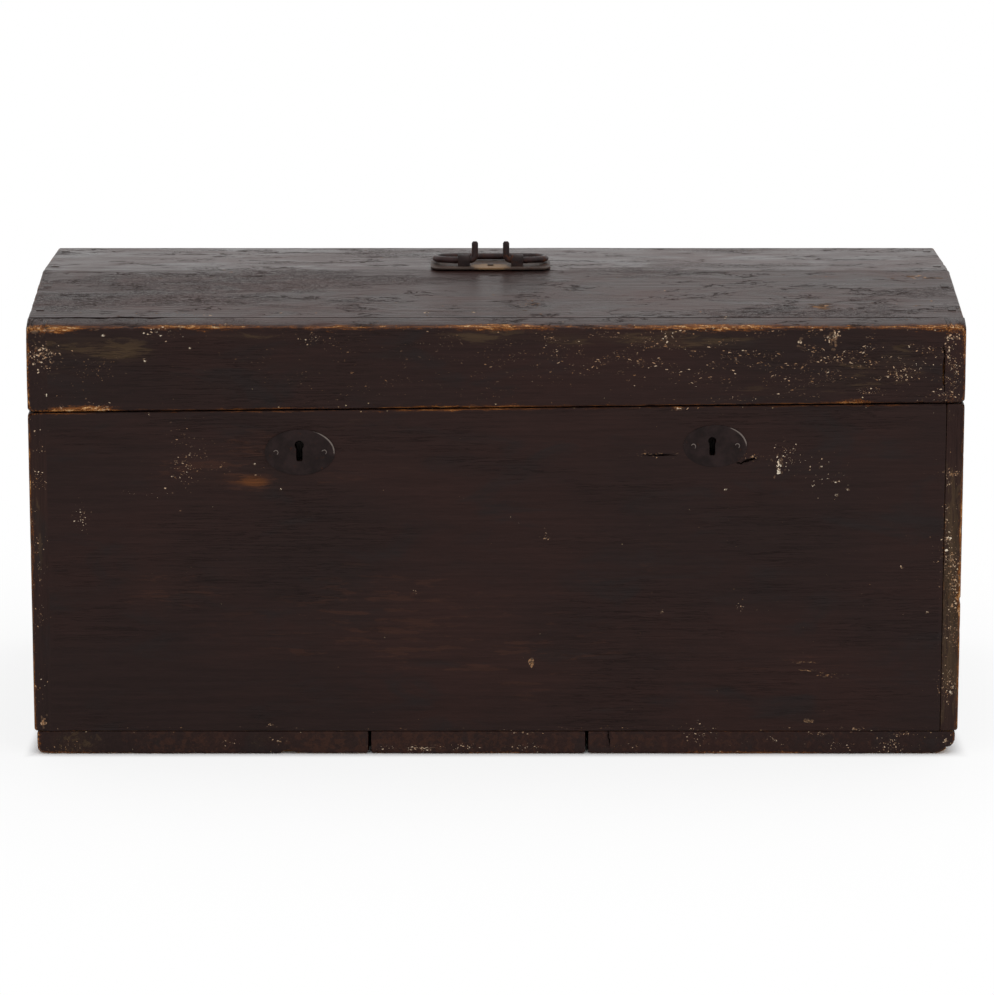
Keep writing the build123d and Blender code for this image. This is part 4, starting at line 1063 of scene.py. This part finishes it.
def build_escutcheon_nails(place, side):
    """Two hammered round heads on each escutcheon, with a painted highlight on the upper right of their
    shoulders.
    """
    around = 18
    points, faces, painted_highlight = [], [], []
    for sign in (-1, 1):
        middle = LOCK_X[place] + ESCUTCHEON_STEP[place] + sign * ESCUTCHEON_NAIL_SPREAD[place]
        faces += tube(len(NAIL_HEAD), around, len(points))
        for share, height in NAIL_HEAD:
            for a in turns(around):
                reach = 2.3 * MM * share * (1 + 0.08 * math.sin(2 * a + 3 * sign + place))
                x, z = on_seam(middle + reach * math.cos(a), ESCUTCHEON_DROP[place] + reach * math.sin(a))
                points.append((x, FRONT_Y - (1.1 + height) * MM, z))
                # a painted highlight on the upper right of each shoulder, toward the light, and 0.1 elsewhere
                painted_highlight.append(0.8 if 0.8 < share < 0.98 and math.cos(a + 0.9) > -0.2 else 0.1)
    name = side + "_escutcheon_nails"
    # the painted highlight goes to the material as its attribute wear
    seen = {"wear": painted_highlight}
    mesh_piece(name + "_looks", points, faces, "box", "nail_iron", ESCUTCHEON_IRON, (name,), seen)


for place, (side, tip, sink) in enumerate((("left", 0.0, 0.0), ("right", 0.22, 0.25))):
    build_escutcheon(place, side, tip, sink)
    build_escutcheon_nails(place, side)


# ---------------- the handle
# the bail, in mm: half its width, its depth, and the X and height of its two posts
BAIL_REACH, BAIL_BACK, BAIL_POST, BAIL_TOP = 46.25, 29.0, 13.1, 15.6
BAIL_BENDS = (4, 14, 14, 14, 14, 4)
BAIL_R = 2.75 * MM
BAIL_DROOP = math.asin(1.45 / 29)                 # the grip lies this much lower than the eyes
PLATE_CORNER = 9 * MM


def plate_shape(points):
    for y, back in ((PLATE_LOW.y, 1), (PLATE_HIGH.y, -1)):
        for x, inward in ((PLATE_LOW.x, 1), (PLATE_HIGH.x, -1)):
            points = rounded(points, 0, 1, (x, y), (inward * PLATE_CORNER, back * PLATE_CORNER))
    return points


def bent_path(corners, radii, step):
    """Points along straight runs joined by bends of the given radii."""
    corners = [np.array(corner, float) for corner in corners]
    points = [corners[0]]
    for before, here, after, radius in zip(corners, corners[1:], corners[2:], radii):
        a = (before - here) / np.linalg.norm(before - here)
        b = (after - here) / np.linalg.norm(after - here)
        half = math.acos(np.clip(a @ b, -1, 1)) / 2
        reach = radius / math.tan(half)
        centre = here + (a + b) / np.linalg.norm(a + b) * radius / math.sin(half)
        first = here + a * reach - centre
        last = here + b * reach - centre
        sweep = math.acos(np.clip(first @ last / radius**2, -1, 1))
        for share in np.linspace(0, 1, 9):
            arm = (math.sin((1 - share) * sweep) * first + math.sin(share * sweep) * last) / math.sin(sweep)
            points.append(centre + arm)
    points.append(corners[-1])
    run = [points[0]]
    for point in points[1:]:
        start = run[-1]
        pieces = max(1, math.ceil(np.linalg.norm(point - start) / step - 0.01))
        run += [start + (point - start) * (i + 1) / pieces for i in range(pieces)]
    return np.array(run)


def forged_rod(name, path, radius, body, slot, material):
    """A round rod along a path, hammered uneven, its ends softly rounded."""
    around = 20
    forward = np.gradient(path, axis=0)
    forward /= np.linalg.norm(forward, axis=1)[:, None]
    side = np.cross(forward[0], (0.3, 0.9, 0.1))
    side /= np.linalg.norm(side)
    length = np.concatenate([[0], np.cumsum(np.linalg.norm(np.diff(path, axis=0), axis=1))])
    points = []
    for spot, ahead, run in zip(path, forward, length):
        side = side - ahead * (side @ ahead)
        side /= np.linalg.norm(side)
        other = np.cross(ahead, side)
        from_end = min(run, length[-1] - run)
        taper = math.sqrt(max(0.0, 1 - 0.6 * (1 - min(1, from_end / (0.9 * MM))) ** 2))
        for a in turns(around):
            out = math.cos(a) * side + math.sin(a) * other
            where = np.array([spot + out * radius])
            hammered = 0.97 + 0.03 * layered(where, (7 * MM,) * 3, 51, 2)[0]
            points.append(spot + out * radius * hammered * taper)
    mesh_piece(name + "_looks", points, tube(len(path), around), body, slot, material, (name,))


def build_bail():
    """A flat loop with two posts turned up at its front, drooping a little towards its grip."""
    half = [(BAIL_POST, 0, BAIL_TOP), (BAIL_POST, 0, 0), (BAIL_REACH, 0, 0), (BAIL_REACH, BAIL_BACK, 0)]
    corners = [(-x, y, z) for x, y, z in half] + half[::-1]
    path = bent_path(corners, BAIL_BENDS, 1.6) * MM
    turned = path.copy()
    turned[:, 1] = path[:, 1] * math.cos(BAIL_DROOP) + path[:, 2] * math.sin(BAIL_DROOP)
    turned[:, 2] = -path[:, 1] * math.sin(BAIL_DROOP) + path[:, 2] * math.cos(BAIL_DROOP)
    forged_rod("bail", turned + np.array(BAIL_AXIS), BAIL_R, "bail", "wrought_iron", BAIL_IRON)


worn_board(
    "handle_plate", PLATE_LOW, PLATE_HIGH, PLATE, {"front top": (1.0, 0), "back top": (1.0, 0)}, step=1.6,
    relief=0.30, zones=((BAIL_AXIS + Vector((0, -0.004, -0.005)), (0.019, 0.014, 0.01), 1.0),),
    shape=plate_shape, seed=40,
)
build_bail()


# ---------------- CAD pieces kept, with softened edges
def keep(node, material, soft=0.35):
    """A CAD node in its own material, its edges softened by a width in mm."""
    piece = bpy.data.objects[node]
    piece.data.materials.clear()
    piece.data.materials.append(material)
    piece.modifiers.new("one skin", "WELD").merge_threshold = 0.005 * MM
    bevel = piece.modifiers.new("soft edges", "BEVEL")
    bevel.width, bevel.segments, bevel.limit_method, bevel.angle_limit = soft * MM, 2, "ANGLE", EDGE_ANGLE
    bevel.use_clamp_overlap, bevel.harden_normals = True, True


for side in SIDES:
    for part in ("lock_plate", "lock_cap", "lock_bolt", "lock_spring", "keeper"):
        keep(f"{side}_{part}", LOCK_IRON, 0.25)
    for part in ("hinge_body_strap", "hinge_lid_strap", "hinge_pin"):
        keep(f"{side}_{part}", BAIL_IRON, 0.25)
    keep(f"{side}_handle_eye", EYE_IRON, 0.6)
    for part in ("lock_nails", "body_strap_nails", "lid_strap_nails", "keeper_nails", "corner_nails"):
        keep(f"{side}_{part}", NAIL_IRON)
    keep(f"lid_{side}_corner_nails", NAIL_IRON)
keep("bottom_nails", NAIL_IRON)
keep("handle_nails", PLATE_IRON)
keep("stave_nails", TOP_NAIL_IRON, 0.6)


# ---------------- flakes of lost paint
# Each patch: middle along and up the face, spread each way, how many, smallest and largest (all in mm),
# palest and darkest tone (0 dark orange wood, 1 cream primer), and how much longer than high.
LID_FRONT_LOSSES = (
    (-367, 334, 7.5, 5, 80, 0.5, 2.4, 0.5, 0.8, 1.2),
    (-355, 354, 11, 1.5, 46, 1, 5.7, 0.34, 0.6, 4),
    (-330, 290, 19, 2, 130, 0.4, 1.8, 0.45, 0.85, 2),
    (-317, 350, 0.5, 0.5, 3, 1, 1.9, 0.9, 1, 1),
    (-364, 301, 0.5, 0.5, 3, 0.8, 1.8, 0.9, 1, 1),
    (-284, 329, 0.5, 1, 4, 0.8, 1.8, 0.9, 1, 1),
    (-247, 340, 0.5, 0.5, 2, 0.8, 1.6, 0.9, 1, 1),
    (-271, 353, 6.5, 2.5, 20, 0.5, 1.6, 0.6, 0.95, 1.5),
    (-324, 322, 8, 4, 34, 0.3, 1, 0.3, 0.6, 1.3),
    (-251, 340, 11, 2.5, 22, 0.4, 1.3, 0.5, 0.8, 1.8),
    (-145, 347, 7.5, 3, 30, 0.3, 1.2, 0.4, 0.85, 1.2),
    (-53, 348, 11, 3, 22, 0.3, 1.1, 0.4, 0.8, 1.3),
    (45, 347, 5, 3, 14, 0.3, 1.1, 0.4, 0.8, 1.3),
    (165, 335, 73, 13, 800, 0.3, 1.6, 0.22, 0.78, 3.2),
    (72, 336, 49, 9.5, 170, 0.3, 1.4, 0.25, 0.66, 3.2),
    (294, 323, 45, 15, 700, 0.3, 1.6, 0.25, 0.78, 2.4),
    (299, 302, 9.5, 3, 70, 0.4, 1.3, 0.4, 0.75, 1.4),
    (329, 318, 6.5, 5.5, 50, 0.4, 1.5, 0.45, 0.75, 1.2),
    (273, 348, 2.5, 3, 22, 1.1, 3.4, 0.55, 0.8, 1),
    (245, 345, 1, 1, 2, 1.6, 2.8, 0.65, 0.9, 1.2),
    (140, 350, 3, 2.5, 14, 0.7, 1.8, 0.6, 0.9, 1.2),
    (318, 340, 11, 1.5, 8, 0.5, 1.3, 0.6, 0.9, 1.3),
    (346, 328, 5, 5, 8, 0.5, 1.3, 0.6, 0.9, 1.3),
    (368, 349, 3, 2.5, 18, 0.7, 2.4, 0.55, 0.85, 1.2),
    (366, 336, 2.5, 4, 16, 0.5, 1.9, 0.5, 0.85, 1),
    (371, 320, 2.5, 4, 16, 0.5, 1.6, 0.5, 0.85, 1),
    (363, 300, 5.5, 2.5, 22, 0.4, 1.5, 0.5, 0.8, 1.5),
    (369, 325, 4, 15, 120, 0.3, 1.5, 0.35, 0.75, 1),
    (164, 353, 105, 2, 60, 0.5, 1.9, 0.35, 0.7, 2),
    (181, 297, 16, 1, 26, 0.3, 1.1, 0.4, 0.8, 2),
    (303, 298, 9.5, 1, 18, 0.3, 1.1, 0.4, 0.8, 2),
    (-158, 325, 65, 15, 150, 0.3, 1.1, 0.12, 0.4, 2.6),
    (-86, 309, 49, 8, 50, 0.3, 1.2, 0.15, 0.5, 2.4),
    (-13, 325, 65, 16, 150, 0.3, 1.1, 0.12, 0.4, 2.6),
    (-353, 309, 15, 11, 30, 0.2, 0.8, 0.4, 0.7, 1.2),
)
BOX_FRONT_LOSSES = (
    (-374, 152, 3, 73, 150, 0.3, 1.6, 0.35, 0.8, 1),
    (-339, 199, 2.5, 5, 16, 0.5, 1.5, 0.6, 0.9, 1.3),
    (-370, 239, 3, 18, 40, 0.3, 1.3, 0.35, 0.8, 1.2),
    (-254, 246, 9, 12, 90, 0.4, 1.5, 0.4, 0.8, 2.2),
    (-223, 239, 18, 6.5, 50, 0.3, 1.3, 0.3, 0.6, 3),
    (-288, 219, 8, 3, 8, 0.3, 0.9, 0.6, 0.9, 1.3),
    (-196, 244, 0.3, 0.3, 2, 0.8, 1.5, 0.8, 0.95, 1),
    (-175, 223, 0.3, 0.3, 2, 0.7, 1.3, 0.8, 0.95, 1),
    (-281, 285, 0.5, 0.5, 2, 0.8, 1.5, 0.7, 0.9, 1),
    (230, 244, 1.5, 3.5, 20, 1.1, 2.9, 0.8, 1, 0.8),
    (277, 218, 0.3, 0.3, 3, 1.6, 2.1, 0.85, 1, 1),
    (276, 229, 0.3, 0.3, 2, 1.5, 1.8, 0.85, 1, 1),
    (286, 223, 0.3, 0.3, 2, 1.3, 1.8, 0.8, 1, 1),
    (258, 226, 0.3, 0.3, 2, 1.1, 1.5, 0.8, 1, 1),
    (264, 242, 0.3, 0.3, 2, 1.1, 1.5, 0.8, 1, 1),
    (238, 253, 6, 6, 34, 0.4, 1, 0.6, 0.9, 1.2),
    (268, 236, 8, 8, 24, 0.4, 1.2, 0.6, 0.95, 1.1),
    (187, 223, 0.3, 0.3, 2, 1, 1.6, 0.8, 1, 1),
    (331, 158, 0.4, 0.4, 2, 1.1, 1.9, 0.55, 0.7, 1),
    (353, 120, 0.4, 0.4, 2, 1, 1.6, 0.6, 0.8, 1),
    (136, 120, 0.4, 0.4, 2, 1, 1.6, 0.6, 0.8, 1),
    (199, 126, 1, 2.5, 5, 0.5, 1.1, 0.6, 0.8, 0.8),
    (40, 185, 2, 3, 9, 0.4, 1.1, 0.5, 0.75, 1),
    (-66, 137, 1, 1, 4, 0.4, 1.1, 0.5, 0.75, 1),
    (29, 78, 0.4, 1, 5, 2.4, 4.5, 0.34, 0.48, 0.6),
    (256, 28, 1, 0.3, 5, 1.9, 4, 0.46, 0.62, 2.4),
    (-372, 27, 1, 2, 9, 1.1, 2.9, 0.4, 0.6, 0.7),
    (376, 135, 2.5, 12, 46, 0.7, 2.4, 0.4, 0.8, 0.8),
    (367, 206, 1.5, 26, 80, 0.4, 1.5, 0.4, 0.8, 0.7),
    (375, 57, 0.6, 0.6, 3, 1.3, 2.4, 0.75, 0.9, 1),
    (375, 139, 4, 65, 110, 0.2, 1, 0.35, 0.75, 0.9),
    (147, 290, 1.5, 0.6, 5, 0.8, 2.1, 0.6, 0.8, 1.6),
    (84, 291, 49, 0.6, 40, 0.4, 1.9, 0.25, 0.6, 3),
    (289, 164, 65, 49, 50, 0.2, 0.7, 0.4, 0.7, 1.2),
    (3, 130, 186, 57, 60, 0.2, 0.6, 0.35, 0.65, 1.2),
    (369, 11, 1, 1, 4, 1, 2.4, 0.55, 0.75, 1.2),
    (130, 252, 7.5, 1, 20, 0.4, 1.6, 0.25, 0.5, 3),
    (204, 249, 5.5, 1.5, 20, 0.4, 1.6, 0.3, 0.6, 2.5),
    (212, 249, 0.4, 0.4, 3, 0.8, 1.6, 0.5, 0.7, 1.5),
    (255, 78, 3, 0.3, 8, 0.5, 1.9, 0.3, 0.5, 4),
    (252, 71, 3, 0.3, 8, 0.5, 1.9, 0.3, 0.5, 4),
    (271, 67, 4, 1, 10, 0.5, 1.9, 0.25, 0.45, 4),
    (295, 21, 4, 1, 10, 0.5, 1.9, 0.45, 0.75, 4),
    (-77, 6, 11, 1.5, 30, 0.4, 1.5, 0.6, 0.9, 1.8),
    (-26, 6, 7.5, 1.5, 16, 0.4, 1.3, 0.6, 0.9, 1.8),
    (20, 6, 6.5, 1.5, 16, 0.4, 1.3, 0.6, 0.9, 1.8),
    (3, 22, 211, 0.6, 90, 0.2, 1, 0.3, 0.6, 2.5),
    (-355, 8, 18, 2, 34, 0.3, 1.1, 0.4, 0.8, 1.4),
    (-219, 10, 6.5, 1.5, 10, 0.3, 1, 0.5, 0.7, 2),
    (300, 8, 49, 2, 60, 0.3, 1.1, 0.4, 0.8, 1.5),
    (118, 7, 16, 1.5, 16, 0.3, 1, 0.4, 0.7, 1.6),
    (371, 236, 4, 1.2, 30, 0.5, 1.4, 0.3, 0.6, 1.4),
    (368, 181, 1.5, 3, 8, 1.1, 2.6, 0.7, 0.95, 1),
    (370, 166, 4, 7, 60, 0.4, 1.6, 0.35, 0.8, 0.9),
    (374, 146, 3, 7.5, 80, 0.5, 1.8, 0.35, 0.75, 0.8),
    (373, 105, 3.5, 7.5, 60, 0.4, 1.5, 0.3, 0.7, 0.8),
    (371, 60, 4, 8, 80, 0.4, 1.5, 0.3, 0.75, 0.7),
    (373, 52, 0.6, 0.6, 3, 1.3, 2.2, 0.8, 0.95, 1),
    (-60, 5, 7.5, 1.2, 26, 0.6, 1.8, 0.6, 0.9, 2.6),
    (-181, 12, 2, 1, 5, 0.8, 1.6, 0.5, 0.8, 1.8),
    (-185, 25, 1.5, 0.6, 4, 0.8, 1.6, 0.5, 0.7, 2),
    (18, 19, 7, 1, 16, 0.4, 1.3, 0.4, 0.8, 1.6),
    (167, 17, 6, 4, 34, 0.4, 1.3, 0.5, 0.85, 1.2),
    (227, 13, 2, 1, 8, 0.4, 1.2, 0.5, 0.8, 1.3),
    (266, 17, 4, 1, 12, 0.4, 1.3, 0.4, 0.8, 1.6),
    (324, 8, 5, 3, 26, 0.5, 1.5, 0.5, 0.8, 0.7),
    (338, 17, 5, 1, 12, 0.5, 1.5, 0.4, 0.7, 1.6),
)
LID_TOP_LOSSES = (
    (266, -149, 3, 2, 9, 3, 9, 0.34, 0.55, 2.6),
    (186, -178, 1, 1.5, 4, 1.5, 2.5, 0.75, 0.95, 1.4),
    (350, -78, 8, 2.5, 8, 1.5, 6, 0.45, 0.7, 3),
    (-57, -165, 1.5, 2, 4, 1, 2.4, 0.7, 0.9, 1.2),
    (-18, -165, 1.5, 2, 3, 1, 2.2, 0.7, 0.9, 1.2),
    (31, -145, 5, 6, 10, 1, 4, 0.2, 0.4, 1.6),
    (-270, -170, 40, 5, 24, 0.8, 2.4, 0.25, 0.7, 2),
    (330, -120, 25, 30, 20, 0.8, 2.4, 0.25, 0.6, 2),
    (0, -100, 220, 60, 70, 0.6, 2, 0.15, 0.5, 1.8),
    (0, 60, 220, 80, 90, 0.6, 2.4, 0.15, 0.6, 1.8),
)
SIDE_LOSSES = (
    (0, 150, 110, 80, 110, 0.5, 2.8, 0.25, 0.75, 0.7),
    (-188, 140, 4, 90, 30, 0.6, 2.6, 0.35, 0.8, 0.7),
    (30, 20, 120, 14, 26, 0.6, 2.4, 0.3, 0.75, 1),
    (0, 320, 110, 20, 40, 0.5, 2, 0.25, 0.75, 1.6),
    (-185, 322, 6, 20, 16, 0.6, 2.4, 0.35, 0.8, 1.2),
    (0, 298, 120, 3, 26, 0.5, 2.2, 0.3, 0.75, 1.6),
)
BACK_LOSSES = (
    (0, 150, 220, 80, 70, 0.5, 2, 0.25, 0.75, 1.5),
    (-372, 140, 5, 90, 30, 0.6, 2.6, 0.35, 0.8, 0.7),
    (372, 140, 5, 90, 30, 0.6, 2.6, 0.35, 0.8, 0.7),
    (0, 320, 220, 18, 70, 0.5, 2.2, 0.25, 0.75, 1.6),
    (-365, 322, 8, 20, 16, 0.6, 2.4, 0.35, 0.8, 1.2),
    (0, 300, 240, 3, 34, 0.5, 2.2, 0.3, 0.75, 1.8),
)

FLAKE_PROUD = 0.05 * MM                           # how far a flake stands off the wood
FLAKE_ROOT = 0.25 * MM                            # how far below that its hidden point lies
FLAKE_STEP = 0.8 * MM                             # the steepest ground that a flake may lie on
LOBES = ((1, 0.30), (2, 0.24), (3, 0.16))         # waves round a flake's outline, and how strong each is


def flake_outline(rng, size, stretch, turn):
    """A ragged outline about 0, stretched along its grain and then turned."""
    corners = 8 if size < 0.4 * MM else 14
    angles = np.linspace(0, 2 * math.pi, corners, endpoint=False)
    lobes = [cut * np.cos(k * angles - 2 * math.pi * rng.random()) for k, cut in LOBES]
    reach = size * (0.74 + sum(lobes) + 0.22 * rng.random(corners))
    u = np.cos(angles) * reach * math.sqrt(stretch)
    v = np.sin(angles) * reach / math.sqrt(stretch)
    across = u * math.cos(turn) - v * math.sin(turn)
    return np.stack([across, u * math.sin(turn) + v * math.cos(turn)], axis=1)


def laid_on(trees, flat, axis, sign):
    """Spots given across one face, each laid on the nearest board. None if one falls past the boards or
    the ground under them is too steep."""
    inward = Vector((0, 0, 0))
    inward[axis] = -sign
    laid = []
    for spot in flat:
        start = Vector(np.insert(spot, axis, sign))
        hits = [hit for hit in (tree.ray_cast(start, inward) for tree in trees) if hit[0] is not None]
        if not hits:
            return None
        where = min(hits, key=lambda hit: hit[3])[0]
        where[axis] += sign * FLAKE_PROUD
        laid.append(where)
    depths = [where[axis] for where in laid]
    return laid if max(depths) - min(depths) <= FLAKE_STEP else None


def losses(body, face, names, patches, seed):
    """Small ragged flakes where the paint has come off one face of the trunk, laid on the named boards."""
    rng = np.random.default_rng(SEED + seed)
    axis, sign = FACES[face]
    trees = []
    for mesh in [piece.data for piece in looks(names)]:
        corners_of = [tuple(polygon.vertices) for polygon in mesh.polygons]
        trees.append(BVHTree.FromPolygons([vertex.co for vertex in mesh.vertices], corners_of))
    points, faces, tones = [], [], []
    for along, up, spread_along, spread_up, count, small, large, low_tone, high_tone, stretch in patches:
        for number in range(int(2.6 * count)):
            dull = number >= count                # beyond the count come darker flakes, spread wider
            wide = 1.5 if dull else 1.0
            middle = rng.normal((along, up), (wide * spread_along, wide * spread_up)) * MM
            size = small * (large / small) ** (rng.random() ** 2.4) * MM / 2
            turn = rng.normal(0, 0.30)
            group = noise(np.array([[*middle, 0]]), (16 * MM, 5 * MM, 1), SEED + 8)[0]
            if max(spread_along, spread_up) > 8 and group < 0.5:
                continue
            outline = flake_outline(rng, size, stretch, turn)
            flake = laid_on(trees, np.vstack([[0, 0], outline]) + middle, axis, sign)
            if flake is None:
                continue
            root = flake[0].copy()
            root[axis] -= sign * FLAKE_ROOT
            first, corners = len(points), len(outline)
            points += [tuple(where) for where in flake + [root]]
            for k in range(corners):
                here, after = first + 1 + k, first + 1 + (k + 1) % corners
                if sign * (-1) ** axis < 0:
                    here, after = after, here
                faces += [(first, here, after), (first + corners + 1, after, here)]
            tone = 0.22 * rng.random() if dull else low_tone + (high_tone - low_tone) * rng.random()
            tones += [tone] * (corners + 2)
    name = f"{body}_{face}_paint_losses"
    mesh_piece(name, points, faces, body, "painted_pine", CHIPPED, attributes={"tone": tones})


losses("lid", "front", ("lid_front_rail", *LID_ENDS), LID_FRONT_LOSSES, 61)
losses("box", "front", ("front_board", *BOX_ENDS, *BASE), BOX_FRONT_LOSSES, 62)
losses("lid", "top", (*STAVES, "lid_front_rail", *LID_ENDS), LID_TOP_LOSSES, 63)
for number, (face, box_boards, lid_boards, rows) in enumerate((
    ("left", ("left_end_board", "left_bottom_board"), ("lid_left_end", *STAVES), SIDE_LOSSES),
    ("right", ("right_end_board", "right_bottom_board"), ("lid_right_end", *STAVES), SIDE_LOSSES),
    ("back", ("back_board", *BOX_ENDS), ("lid_back_rail", *LID_ENDS), BACK_LOSSES),
)):
    # the first three rows are for the box and the others for the lid
    losses("box", face, box_boards, rows[:3], 64 + number)
    losses("lid", face, lid_boards, rows[3:], 70 + number)


# ---------------- floor, light and camera
FLOOR_HALF = 30.0
FOOTPRINT = (0.378, 0.193)                        # half of the trunk's length and depth on the floor


def floor_material():
    """A pale floor that shows the trunk's shadow. Seen by the camera, painted white light covers most of that
    shadow from 12 mm beyond the trunk, and clears the floor fully to white further out.
    """
    t = Tree(bpy.data.materials.new("floor"))
    at = t.coordinates()
    tone = t.ramp(t.noise(at, 3), 0.3, 0.7)
    colour = t.mix(tone, (0.95, 0.95, 0.95, 1.0), (0.97, 0.97, 0.97, 1.0))
    normal = t.bump(t.noise(at, 40), 0.5, 0.1)
    inputs = {"Base Color": colour, "Roughness": 0.9, "Normal": normal, "Specular IOR Level": 0.0}
    shader = t.node("ShaderNodeBsdfPrincipled", inputs)
    white = t.node("ShaderNodeEmission", {"Color": WHITE, "Strength": 1.0})
    split = t.node("ShaderNodeSeparateXYZ", {0: at}).outputs
    beside, before = (t.math("SUBTRACT", t.math("ABSOLUTE", split[k]), FOOTPRINT[k]) for k in (0, 1))
    away = t.math("MAXIMUM", beside, before)
    # painted light: most of the floor's shading clears to white within 12 mm of the trunk, and the rest from
    # 50 to 600 mm out
    clear = t.plus(t.ramp(away, 0.0, 0.012, 0.0, 0.8), t.ramp(away, 0.05, 0.6, 0.0, 0.2))
    clear = t.times(clear, t.seen_directly())
    return t.surface(t.node("ShaderNodeMixShader", {0: clear, 1: shader.outputs[0], 2: white.outputs[0]}))


def build_floor():
    corners = [(x * FLOOR_HALF, y * FLOOR_HALF, 0) for x, y in ((-1, -1), (1, -1), (1, 1), (-1, 1))]
    floor = new_mesh_object("floor", corners, [(0, 1, 2, 3)])
    floor.data.materials.append(floor_material())


def softbox(name, place, target, size, watts):
    data = bpy.data.lights.new(name, "AREA")
    data.shape, data.size, data.size_y, data.energy = "RECTANGLE", size[0], size[1], watts
    light = new_object(name, data)
    light.location = place
    light.rotation_euler = (Vector(target) - Vector(place)).to_track_quat("-Z", "Y").to_euler()
    light.visible_camera = False


def build_world(around):
    """White where it is seen, and of the given strength where it lights the scene."""
    t = Tree(bpy.data.worlds.new("studio"))
    share = t.seen_directly()
    lit, seen = (
        t.node("ShaderNodeBackground", {"Color": WHITE, "Strength": strength}).outputs[0]
        for strength in (around, 1.0)
    )
    both = t.node("ShaderNodeMixShader", {0: share, 1: lit, 2: seen})
    bpy.context.scene.world = t.surface(both, "ShaderNodeOutputWorld")


def build_camera(distance, height, pitch):
    """The camera of the photo: its distance from the front, its height, and how far down it looks."""
    data = bpy.data.cameras.new("camera")
    data.lens = 145.73
    data.shift_x, data.shift_y = 0.0009, -0.1
    data.clip_start, data.clip_end = 0.1, 100
    camera = new_object("camera", data)
    camera.location = (0, FRONT_Y - distance, height)
    camera.rotation_euler = (math.radians(90 - pitch), 0, 0)
    bpy.context.scene.camera = camera


build_floor()
build_world(0.9)
softbox("over", (0.5, 0.3, 2.6), (0, 0, 0.3), (2.4, 1.6), 14)
softbox("key", (1.6, -2.4, 1.9), (0, 0, 0.2), (1.4, 1.4), 6)
build_camera(3.201, 0.915, 10.9)
bpy.context.scene.view_settings.view_transform = "Standard"
